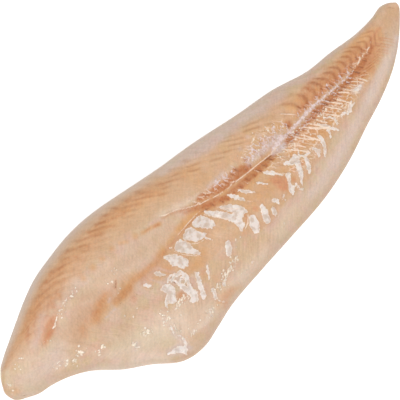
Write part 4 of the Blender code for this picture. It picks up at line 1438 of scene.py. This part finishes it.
@dataclass(frozen=True)
class WetFlesh:
    """The finish of the whole fillet: colours are linear, scales are in 1/millimetre."""

    warm: Colour = (0.60, 0.40, 0.262)
    cool: Colour = (0.60, 0.42, 0.31)
    pink_tint: Colour = (0.985, 0.91, 0.93)
    green_tint: Colour = (0.95, 0.98, 0.85)
    septum_tint: Colour = (0.80, 0.66, 0.54)
    # painted shade on the rounded edges, with the greyer tone of thin flesh
    shaded_thin_edge: Colour = (0.46, 0.365, 0.28)
    under: Colour = (0.56, 0.43, 0.33)
    under_septum: Colour = (0.68, 0.58, 0.48)
    lateral: Colour = (0.30, 0.16, 0.11)
    # films: the membrane's pale colour with painted glare over it
    film_and_glare: Colour = (0.78, 0.70, 0.65)
    film_and_glare_grey: Colour = (0.63, 0.555, 0.50)
    # painted highlight along the films' rims
    film_rim_highlight: Colour = (0.88, 0.74, 0.61)
    film_shadow: Colour = (0.46, 0.24, 0.13)
    membrane: Colour = (0.60, 0.425, 0.385)
    membrane_pale: Colour = (0.76, 0.625, 0.605)
    cream: Colour = (0.86, 0.66, 0.51)
    # painted highlight specks
    glint: Colour = (0.95, 0.83, 0.68)
    # painted shade in creases
    crease_shade: Colour = (0.25, 0.10, 0.05)
    stains: tuple[StainFinish, ...] = (
        StainFinish(PALE, (0.71, 0.56, 0.445), 0.3, 0.12),
        StainFinish(TAN, (0.57, 0.37, 0.23), 0.3, 0.12),
        StainFinish(OCHRE, (0.60, 0.315, 0.13), 0.3, 0.25),
        StainFinish(GREEN, (0.60, 0.475, 0.31), 0.3, 0.2),
        StainFinish(RUST, (0.56, 0.24, 0.115), 0.45, 0.45),
        StainFinish(BROWN, (0.45, 0.15, 0.045), 0.5, 0.5),
        StainFinish(LILAC, (0.60, 0.47, 0.43), 0.3, 0.4),
    )
    edges: tuple[CrispFinish, ...] = (
        CrispFinish(FILM_AND_GLARE, 0.25, 3.0, 0.62, 0.12),
        CrispFinish(MEMBRANE, 0.22, 3.0, 0.8, 0.15),
        CrispFinish(CREAM, 0.22, 0.9, 0.7, 0.22),
        CrispFinish(GLINT, 0.2, 0.5, 0.9, 0.4),
        CrispFinish(CREASE, 0.3, 0.5, 0.9, -0.3),
    )
    bead_glint_scale: float = 0.42
    web_scale: float = 0.28
    web_relief: float = 0.12
    roughness: float = 0.44
    fine_roughness: float = 0.12
    wet_roughness: float = 0.2
    coat_roughness: float = 0.2
    flesh_coat: float = 0.12
    wet_coat: float = 0.6
    subsurface: float = 0.12
    subsurface_reach: float = 0.0022
    subsurface_radius: Colour = (1.0, 0.55, 0.35)
    bump: float = 0.8


class FleshMaterial(Graph):
    """Builds the flesh's material in layers, each laid over the colour so far."""

    def __init__(self, finish: WetFlesh, effects: Effects) -> None:
        """Starts the material, with the places and masks that its layers share.

        Args:
            finish: Its colours and values.
            effects: The shared node groups.
        """
        self.made = bpy.data.materials.new("wet_cod_flesh")
        self.made.use_nodes = True
        super().__init__(self.made.node_tree)
        self.finish, self.effects = finish, effects
        self.shader = self.tree.nodes["Principled BSDF"].inputs
        place = self.node("TexCoord").outputs["Object"]
        self.where = self.node("Mapping", {"Vector": place, "Scale": (1 / MM,) * 3}).outputs[0]
        flesh_map = self.node("UVMap", uv_map=FilletSkin.MAP).outputs[0]
        self.line = self.node("SeparateXYZ", {0: flesh_map}).outputs[1]
        self.flakes = self.group(effects.flakes, Map=flesh_map, Wander=0.5, Septum=0.5)
        self.broad, self.fine = self.noise(0.035), self.noise(0.75, 4.0)
        self.colour = self.mix(self.step(self.broad, 0.35, 0.65), finish.warm, finish.cool)
        self.masks: dict[Mark, Socket] = {}
        self.rims: dict[Mark, Socket] = {}

    def build(self) -> bpy.types.Material:
        """Adds every layer.

        Returns:
            The finished material.
        """
        self.find_marks()
        self.tints()
        self.stripes()
        self.edges()
        self.skin_side()
        self.wet_marks()
        self.feed(self.shader["Base Color"], self.colour)
        self.shine()
        self.relief()
        self.shader["Subsurface Weight"].default_value = self.finish.subsurface
        self.shader["Subsurface Scale"].default_value = self.finish.subsurface_reach
        self.shader["Subsurface Radius"].default_value = self.finish.subsurface_radius
        return self.made

    def lay(self, over: object, mask: Socket, strength: object) -> None:
        """Lays a colour over the colour so far where a mask is, at a strength."""
        self.colour = self.mix(self.times(mask, strength), self.colour, over)

    def find_marks(self) -> None:
        """Finds where the crisp marks, the beads and the threads are."""
        finish, effects = self.finish, self.effects
        for edge in finish.edges:
            drawn = self.group(
                effects.crisp,
                Inside=self.attribute(edge.mark),
                Edge=edge.edge,
                Ragged=edge.ragged,
                Scale=edge.scale,
            )
            self.masks[edge.mark] = drawn["Mask"]
            self.rims[edge.mark] = drawn["Rim"]
        beads = self.group(effects.beads, Amount=self.attribute(BEAD_GLINTS), Scale=finish.bead_glint_scale)
        web = self.group(effects.web, Amount=self.attribute(WEB), Scale=finish.web_scale)
        # beads of water join the painted highlight specks
        self.masks[GLINT] = self.greatest(self.masks[GLINT], beads["BeadGlint"])
        self.masks[WEB] = web["Thread"]

    def tints(self) -> None:
        """Clouds of tint, and the soft stains."""
        finish = self.finish
        for tint, scale, shift in ((finish.pink_tint, 0.16, 0.0), (finish.green_tint, 0.11, 40.0)):
            cloud = self.clouds(scale, 0.44, 0.62, shift)
            self.colour = self.mix(cloud, self.colour, tint, "MULTIPLY")
        for stain in finish.stains:
            self.colour = self.group(
                self.effects.stain,
                Colour=self.colour,
                Stain=stain.colour,
                Amount=self.attribute(stain.mark),
                Patchiness=stain.patchiness,
                Scale=stain.scale,
            )["Colour"]

    def stripes(self) -> None:
        """Darker stripes on the septa, streaks along the fibres and fine specks."""
        amount, fibres = self.attribute(STRIPE), self.flakes["Fibres"]
        gate = self.math("MULTIPLY_ADD", amount, 0.35, self.noise(0.12))
        striped = self.times(self.times(self.flakes["Band"], amount), self.step(gate, 0.55, 0.9))
        striped = self.times(striped, self.step(self.line, 5.28, 4.95))
        self.masks[STRIPE] = striped
        self.colour = self.mix(striped, self.colour, self.finish.septum_tint, "MULTIPLY")
        leaning = self.leaning(self.where, 45.0, (9.0, 1.3, 3.0))
        streaks = self.math("ADD", fibres, self.noise(1.0, 3.0, leaning))
        grain = self.times(self.attribute(GRAIN), 0.36)
        light = self.times(self.math("SUBTRACT", streaks, 1.0), grain)
        light = self.math("MULTIPLY_ADD", self.math("SUBTRACT", amount, striped), 0.07, light)
        speck = self.times(self.math("SUBTRACT", self.fine, 0.5), 0.3)
        light = self.math("ADD", self.math("ADD", light, speck), 1.0)
        grey = self.node("CombineColor", dict.fromkeys(range(3), light)).outputs[0]
        self.colour = self.mix(1.0, self.colour, grey, "MULTIPLY")

    def edges(self) -> None:
        """Greyer rounded edges: painted shade, with the greyer tone of thin flesh."""
        back = self.step(self.line, 5.0, 5.3)
        belly = self.times(self.step(self.line, 0.25, -0.15), 0.3)
        thin = self.math("MULTIPLY_ADD", back, 0.5, belly)
        self.colour = self.mix(thin, self.colour, self.finish.shaded_thin_edge)

    def skin_side(self) -> None:
        """Greyer flesh on the skin side, with pale septa and a dark lateral band."""
        bone_side, finish = self.colour, self.finish
        away = self.math("ABSOLUTE", self.math("SUBTRACT", self.line, 7.7))
        wide = self.math("MULTIPLY_ADD", self.broad, 0.7, 0.1)
        septa = self.times(self.flakes["Septum"], 0.35)
        self.colour = self.mix(septa, finish.under, finish.under_septum)
        self.lay(finish.lateral, self.rest(self.step(away, 0.05, wide)), 0.65)
        self.colour = self.mix(self.step(self.line, 5.3, 5.7), bone_side, self.colour)

    def wet_marks(self) -> None:
        """Threads, membrane, films, creases, cream and beads, partly as painted light."""
        finish, masks = self.finish, self.masks
        mottle, patchy = self.clouds(0.28, 0.36, 0.6), self.clouds(0.6, 0.36, 0.6)
        beside = self.step(self.attribute(MEMBRANE), -3.0, -1.0)
        around = self.step(self.attribute(FILM_AND_GLARE), -1.4, -0.1)
        glare_film_cover = self.math("MULTIPLY_ADD", mottle, 0.3, 0.6)
        self.lay(self.mix(beside, finish.cream, finish.membrane_pale), masks[WEB], 0.8)
        self.lay(self.mix(patchy, finish.membrane, finish.membrane_pale), masks[MEMBRANE], 0.9)
        self.lay(finish.film_shadow, around, 0.22)
        # painted glare on the films, over the membrane's own pale colour
        self.lay(self.mix(mottle, finish.film_and_glare_grey, finish.film_and_glare), masks[FILM_AND_GLARE], glare_film_cover)
        # painted highlight along the films' rims
        self.lay(finish.film_rim_highlight, self.times(self.rims[FILM_AND_GLARE], masks[FILM_AND_GLARE]), 0.6)
        # painted shade in creases
        self.lay(finish.crease_shade, masks[CREASE], 0.65)
        self.lay(finish.cream, masks[CREAM], 0.85)
        # painted highlight specks on glints and beads of water
        self.lay(finish.glint, masks[GLINT], 0.8)

    def shine(self) -> None:
        """Makes films, cream and beads glossier than the flesh."""
        finish = self.finish
        wet = self.greatest(*(self.masks[mark] for mark in (FILM_AND_GLARE, CREAM, GLINT)))
        dull = self.math("MULTIPLY_ADD", self.fine, finish.fine_roughness, finish.roughness)
        self.feed(self.shader["Roughness"], self.between(wet, dull, finish.wet_roughness))
        coat = self.between(wet, finish.flesh_coat, finish.wet_coat)
        self.feed(self.shader["Coat Weight"], coat)
        self.shader["Coat Roughness"].default_value = finish.coat_roughness

    def relief(self) -> None:
        """Adds the relief that is finer than the mesh, in millimetres."""
        height = self.times(self.masks[STRIPE], -0.08)
        for value, amount in (
            (self.flakes["Fibres"], 0.08),
            (self.fine, 0.22),
            (self.noise(0.25), 0.6),
            (self.masks[WEB], self.finish.web_relief),
            *((self.masks[edge.mark], edge.relief) for edge in self.finish.edges),
        ):
            height = self.math("MULTIPLY_ADD", value, amount, height)
        inputs = {"Height": height, "Distance": MM, "Strength": self.finish.bump}
        self.feed(self.shader["Normal"], self.node("Bump", inputs).outputs[0])


# ---------------------------------------------------------------- the fillet


def read_all(items: object, name: str, width: int, kind: type = float) -> np.ndarray:
    """Reads a property of every vertex, edge or corner of a mesh.

    Args:
        items: The mesh's vertices, edges or loops.
        name: The property's name.
        width: How many numbers it has.
        kind: The type of its numbers.

    Returns:
        One row for each item.
    """
    values = np.empty(len(items) * width, kind)
    items.foreach_get(name, values)
    return values.reshape(-1, width)


def column(x: np.ndarray, y: np.ndarray, z: np.ndarray, line: float, on_top: bool) -> Column:
    """The values of one column of the mesh, one for each ring."""
    return x, y, z, np.full_like(x, line), np.full(x.shape, on_top)


@dataclass(frozen=True)
class Edge:
    """One rounded edge of the fillet: what it is like at each ring, in millimetres."""

    is_back: bool
    x: np.ndarray
    reach: np.ndarray
    height: np.ndarray


@dataclass(frozen=True)
class FilletSkin:
    """The fillet's mesh: a grid rolled round the form and closed at both ends.

    Its columns run along the fillet. Each keeps its line, and the lines go on past the back
    edge, round and over the underside to the belly edge.
    """

    MAP = "FlakeMap"
    rings: int = 545
    ring_samples: int = 4000
    belly_corner: int = 8
    strips: tuple[int, ...] = (30, 28, 20, 20, 22)
    back_corner: int = 18
    tuck: int = 3
    under: int = 22
    back_line: float = 5.0
    corner_lines: float = 0.3
    under_line: float = 5.5
    under_lines: float = 5.2
    tuck_lines: float = 0.2
    head_cap: float = 1.3
    tail_cap: float = 0.6
    cap_steps: tuple[tuple[float, float], ...] = ((0.45, 0.84), (0.35, 0.62), (0.2, 0.5))
    cap_search: float = 0.2
    mark_slope: tuple[float, float] = (-0.7, 0.5)
    thin: float = 3.0
    smooth_angle: float = 50.0
    form: FilletForm = FilletForm()

    def ring_places(self) -> np.ndarray:
        """Where each ring meets the backbone: closer together where the flakes are."""
        fine = np.linspace(HEAD + self.head_cap, TAIL - self.tail_cap, self.ring_samples)
        density = 1 / np.sqrt(FLAKE_SPACING.at(fine))
        count = np.concatenate([[0.0], np.cumsum((density[1:] + density[:-1]) / 2)])
        return np.interp(np.linspace(0, count[-1], self.rings), count, fine)

    def edge(self, backbone_x: np.ndarray, is_back: bool) -> Edge:
        """Works out how one edge is rounded.

        Args:
            backbone_x: Where each ring meets the backbone.
            is_back: Whether it is the back edge or the belly edge.

        Returns:
            The edge.
        """
        line = self.back_line if is_back else 0.0
        x = self.form.septum_x(backbone_x, np.full((1, 1), line))
        limits = self.form.back_round if is_back else self.form.belly_round
        return Edge(is_back, x, *self.form.corner(x, float(is_back), limits))

    def corner(self, edge: Edge, turn: float, flake: np.ndarray | None = None) -> Column:
        """Works out a column on a rounded edge.

        Args:
            edge: The edge.
            turn: 0 where the edge is widest, to 1 where its rounding ends.
            flake: Height of the flakes on the upper part. None stands for the lower part, where
                the edge turns in under the fillet.

        Returns:
            The column.
        """
        form, x, angle = self.form, edge.x, math.pi / 2 * turn
        middle = form.widest_share * edge.height
        belly_y, back_y = BELLY_OUTLINE.at(x), BACK_OUTLINE.at(x)
        tuck = np.minimum(np.minimum(form.undercut, middle), edge.reach)
        inset = (tuck if flake is None else edge.reach) * (1 - math.cos(angle))
        y = back_y - inset if edge.is_back else belly_y + inset
        if flake is None:
            beyond = self.tuck_lines * (1 - turn)
            belly_line = self.under_line + self.under_lines + beyond
            line = self.under_line - beyond if edge.is_back else belly_line
            return column(x, y, middle * (1 - math.sin(angle)), line, False)
        line = self.back_line if edge.is_back else 0.0
        share, lines = (y - belly_y) / (back_y - belly_y), np.full_like(x, line)
        top = form.surface_height(x, y, share, lines, flake)
        beyond = self.corner_lines * (1 - turn) * (1 if edge.is_back else -1)
        return column(x, y, middle + (top - middle) * math.sin(angle), line + beyond, True)

    def roll(self) -> dict[str, np.ndarray]:
        """Works out every vertex.

        Returns:
            Arrays of rings by columns: x, y, z in millimetres, the flake's number, the line,
            and whether the column is on the bone side or its edges.
        """
        form = self.form
        b = self.ring_places()[:, None]
        flake = form.flake_height(b)
        belly, back = self.edge(b, False), self.edge(b, True)
        columns = [
            self.corner(belly, i / self.belly_corner, flake) for i in range(self.belly_corner + 1)
        ]
        lines = [strip + (i + 1) / n for strip, n in enumerate(self.strips) for i in range(n)]
        for line in lines[:-1]:
            across = np.full((1, 1), line)
            x = form.septum_x(b, across)
            belly_y, back_y = BELLY_OUTLINE.at(x), BACK_OUTLINE.at(x)
            low, high = belly_y + belly.reach, back_y - back.reach
            y = low + form.share_across(x, across) * (high - low)
            share = (y - belly_y) / (back_y - belly_y)
            z = form.surface_height(x, y, share, across, flake)
            columns.append(column(x, y, z, line, True))
        for i in range(self.back_corner, -1, -1):
            columns.append(self.corner(back, i / self.back_corner, flake))
        columns += [self.corner(back, i / self.tuck) for i in range(1, self.tuck + 1)]
        for i in range(1, self.under):
            across = i / self.under
            x = form.septum_x(b, np.full((1, 1), self.back_line * (1 - across)))
            high = BACK_OUTLINE.at(x) - np.minimum(form.undercut, back.reach)
            low = BELLY_OUTLINE.at(x) + np.minimum(form.undercut, belly.reach)
            line = self.under_line + self.under_lines * across
            columns.append(
                column(x, high + across * (low - high), np.zeros_like(x), line, False)
            )
        columns += [self.corner(belly, i / self.tuck) for i in range(self.tuck, 0, -1)]
        columns.append(self.corner(belly, 0.0, flake))
        stacked = [np.concatenate(values, axis=1) for values in zip(*columns)]
        rolled = dict(zip(("x", "y", "z", "line", "on_top"), stacked))
        line = rolled["line"]
        back_again = (line - self.under_line) / (self.under_lines / self.back_line)
        is_under = line > self.under_line - self.tuck_lines / 2
        above = np.where(is_under, self.back_line - back_again, line)
        rolled["flake"] = form.drawn_number(rolled["x"], above)
        return rolled

    def build(self) -> bpy.types.Object:
        """Makes the mesh, paints it and closes it.

        Returns:
            The fillet, with its place in its mesh.
        """
        rolled = self.roll()
        rings, columns = rolled["x"].shape
        bpy.ops.object.select_all(action="DESELECT")
        bpy.ops.mesh.primitive_grid_add(
            x_subdivisions=rings - 1, y_subdivisions=columns - 1, size=1.0, location=(0, 0, 0)
        )
        fillet = bpy.context.object
        fillet.name = fillet.data.name = "cod_fillet"
        mesh = fillet.data
        flat = read_all(mesh.vertices, "co", 3) + 0.5
        ring = np.rint(flat[:, 0] * (rings - 1)).astype(int)
        across = np.rint(flat[:, 1] * (columns - 1)).astype(int)
        at = {name: values[ring, across] for name, values in rolled.items()}
        fields = paint(at["x"], at["y"], at["on_top"])
        height = at["z"] + self.mark_height(fields) * np.minimum(1.0, at["z"] / self.thin)
        points = np.stack([at["x"], at["y"], height], axis=1) * MM
        mesh.vertices.foreach_set("co", points.ravel())
        for mark, values in fields.items():
            layer = mesh.attributes.new(mark.value, "FLOAT", "POINT")
            layer.data.foreach_set("value", values.astype(np.float32))
        corners = read_all(mesh.loops, "vertex_index", 1, np.int32)[:, 0]
        flesh_map = np.stack([at["flake"], at["line"]], axis=1)[corners]
        layer = mesh.uv_layers[0]
        layer.name = self.MAP
        layer.uv.foreach_set("vector", flesh_map.astype(np.float32).ravel())
        self.close(fillet)
        LOG.info("fillet: %d rings of %d, %d faces", rings, columns, len(mesh.polygons))
        return fillet

    def mark_height(self, fields: dict[Mark, np.ndarray]) -> np.ndarray:
        """How far the marks stand up or sink in, in millimetres."""
        heights = CRISP_HEIGHTS.items()
        return sum(height * ease(fields[mark], *self.mark_slope) for mark, height in heights)

    def close(self, fillet: bpy.types.Object) -> None:
        """Joins the seam under the belly edge, rounds and closes both ends.

        Args:
            fillet: The rolled grid.
        """
        bpy.ops.object.mode_set(mode="EDIT")
        bpy.ops.mesh.select_mode(type="VERT")
        bpy.ops.mesh.select_all(action="SELECT")
        bpy.ops.mesh.remove_doubles(threshold=1e-6)
        bpy.ops.object.mode_set(mode="OBJECT")
        for end, reach in ((HEAD, self.head_cap), (TAIL, -self.tail_cap)):
            self.cap(fillet.data, end * MM, reach * MM)
        bpy.ops.object.mode_set(mode="EDIT")
        bpy.ops.mesh.select_all(action="SELECT")
        bpy.ops.mesh.normals_make_consistent(inside=False)
        bpy.ops.object.mode_set(mode="OBJECT")
        bpy.ops.object.shade_smooth_by_angle(angle=math.radians(self.smooth_angle))

    def cap(self, mesh: bpy.types.Mesh, end: float, reach: float) -> None:
        """Rounds one open end over and fills it.

        Args:
            mesh: The fillet's mesh.
            end: x of the finished end, in metres.
            reach: How far the open ring lies inside it, with its sign.
        """
        points = read_all(mesh.vertices, "co", 3)
        ring = np.abs(points[:, 0] - end - reach) < abs(reach) * self.cap_search
        middle = points[ring].mean(axis=0)
        edges = read_all(mesh.edges, "vertices", 2, np.int32)
        bpy.ops.object.mode_set(mode="EDIT")
        bpy.ops.mesh.select_all(action="DESELECT")
        bpy.ops.object.mode_set(mode="OBJECT")
        mesh.vertices.foreach_set("select", ring)
        mesh.edges.foreach_set("select", ring[edges].all(axis=1))
        bpy.ops.object.mode_set(mode="EDIT")
        for share, size in self.cap_steps:
            move = {"value": (-reach * share, 0, 0)}
            bpy.ops.mesh.extrude_edges_move(TRANSFORM_OT_translate=move)
            bpy.ops.transform.resize(value=(1.0, size, size), center_override=tuple(middle))
        bpy.ops.mesh.edge_face_add()
        bpy.ops.mesh.poke()
        bpy.ops.object.mode_set(mode="OBJECT")


@dataclass(frozen=True)
class CodFillet:
    """The whole fillet: its skin, its finish and its place in the frame."""

    skin: FilletSkin
    finish: WetFlesh

    def build(self, effects: Effects) -> bpy.types.Object:
        """Builds and dresses the fillet and puts it in the frame.

        Args:
            effects: The shared node groups.

        Returns:
            The fillet's one piece.
        """
        piece = self.skin.build()
        piece.data.materials.clear()
        piece.data.materials.append(FleshMaterial(self.finish, effects).build())
        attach(piece, "root")
        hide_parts("fillet")
        return piece


# ---------------------------------------------------------------- studio


@dataclass(frozen=True)
class Softbox:
    """A square light: where it is, how large, and how strong."""

    name: str
    place: Colour
    size: float
    power: float


@dataclass(frozen=True)
class Studio:
    """A plain pale floor, soft light and the camera: places in metres, angles in degrees."""

    floor_size: float = 8.0
    floor_drop: float = 0.0002
    floor_roughness: float = 0.8
    floor_shine: float = 0.1
    floor_unevenness: float = 0.01
    floor_colour: Colour = (0.93, 0.93, 0.93)
    floor_glow: float = 0.3
    sky: float = 0.55
    backdrop: float = 1.0
    target: Colour = (-0.01161057, 0.01337024, 0.0)
    azimuth: float = -45.8
    elevation: float = 75.0
    distance: float = 0.6385
    lens: float = 85.0
    sensor: float = 36.0
    softboxes: tuple[Softbox, ...] = (
        Softbox("key", (-0.7, -0.4, 1.35), 0.9, 11.0),
        Softbox("fill", (0.95, -0.1, 1.3), 1.2, 5.5),
        Softbox("sparkle_left", (-0.05, 0.38, 1.25), 0.09, 0.55),
        Softbox("sparkle_right", (0.42, 0.02, 1.2), 0.09, 0.55),
    )

    def floor(self) -> bpy.types.Object:
        """Lays the floor.

        Returns:
            The floor.
        """
        bpy.ops.object.select_all(action="DESELECT")
        place = (0, 0, -self.floor_drop)
        bpy.ops.mesh.primitive_plane_add(size=self.floor_size, location=place)
        floor = bpy.context.object
        floor.name = floor.data.name = "studio_floor"
        bpy.ops.object.transform_apply(location=True, rotation=True, scale=True)
        material = bpy.data.materials.new("pale_floor")
        material.use_nodes = True
        graph = Graph(material.node_tree)
        shader = material.node_tree.nodes["Principled BSDF"].inputs
        graph.where = graph.node("TexCoord").outputs["Object"]
        cloud = graph.step(graph.noise(3.0), 0.3, 0.7)
        dim = tuple(value - self.floor_unevenness for value in self.floor_colour)
        graph.feed(shader["Base Color"], graph.mix(cloud, dim, self.floor_colour))
        shader["Roughness"].default_value = self.floor_roughness
        shader["Specular IOR Level"].default_value = self.floor_shine
        shader["Emission Color"].default_value = (1, 1, 1, 1)
        shader["Emission Strength"].default_value = self.floor_glow
        floor.data.materials.append(material)
        return floor

    def lights(self) -> None:
        """Hangs the softboxes and lights the room evenly."""
        world = bpy.context.scene.world or bpy.data.worlds.new("studio")
        bpy.context.scene.world = world
        world.use_nodes = True
        graph = Graph(world.node_tree)
        background = world.node_tree.nodes["Background"].inputs
        background["Color"].default_value = (1, 1, 1, 1)
        seen = graph.node("LightPath").outputs["Is Camera Ray"]
        graph.feed(background["Strength"], graph.between(seen, self.sky, self.backdrop))
        for box in self.softboxes:
            bpy.ops.object.light_add(type="AREA", location=box.place)
            light = bpy.context.object
            light.name = light.data.name = box.name
            light.data.size = box.size
            light.data.energy = box.power
            x, y, z = box.place
            light.rotation_euler = (math.atan2(math.hypot(x, y), z), 0, math.atan2(x, -y))
        LOG.info("lights: %d softboxes", len(self.softboxes))

    def camera(self) -> bpy.types.Object:
        """Puts the camera where the photograph was taken from.

        Returns:
            The camera.
        """
        turn, tilt = math.radians(self.azimuth), math.radians(self.elevation)
        flat = math.cos(tilt)
        back = (math.sin(turn) * flat, -math.cos(turn) * flat, math.sin(tilt))
        place = tuple(t + b * self.distance for t, b in zip(self.target, back))
        bpy.ops.object.camera_add(location=place, rotation=(math.pi / 2 - tilt, 0, turn))
        camera = bpy.context.object
        camera.name = camera.data.name = "studio_camera"
        camera.data.lens = self.lens
        camera.data.sensor_width = self.sensor
        bpy.context.scene.camera = camera
        bpy.context.scene.view_settings.view_transform = "Standard"
        return camera

    def build(self) -> None:
        """Sets the studio up."""
        self.floor()
        self.lights()
        self.camera()


def main() -> None:
    """Builds the fillet and the studio."""
    logging.basicConfig(level=logging.INFO, format="%(name)s: %(message)s")
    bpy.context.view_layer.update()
    effects = Effects()
    piece = CodFillet(FilletSkin(), WetFlesh()).build(effects)
    LOG.info("%s: %d faces", piece.name, len(piece.data.polygons))
    Studio().build()


if __name__ == "__main__":
    main()
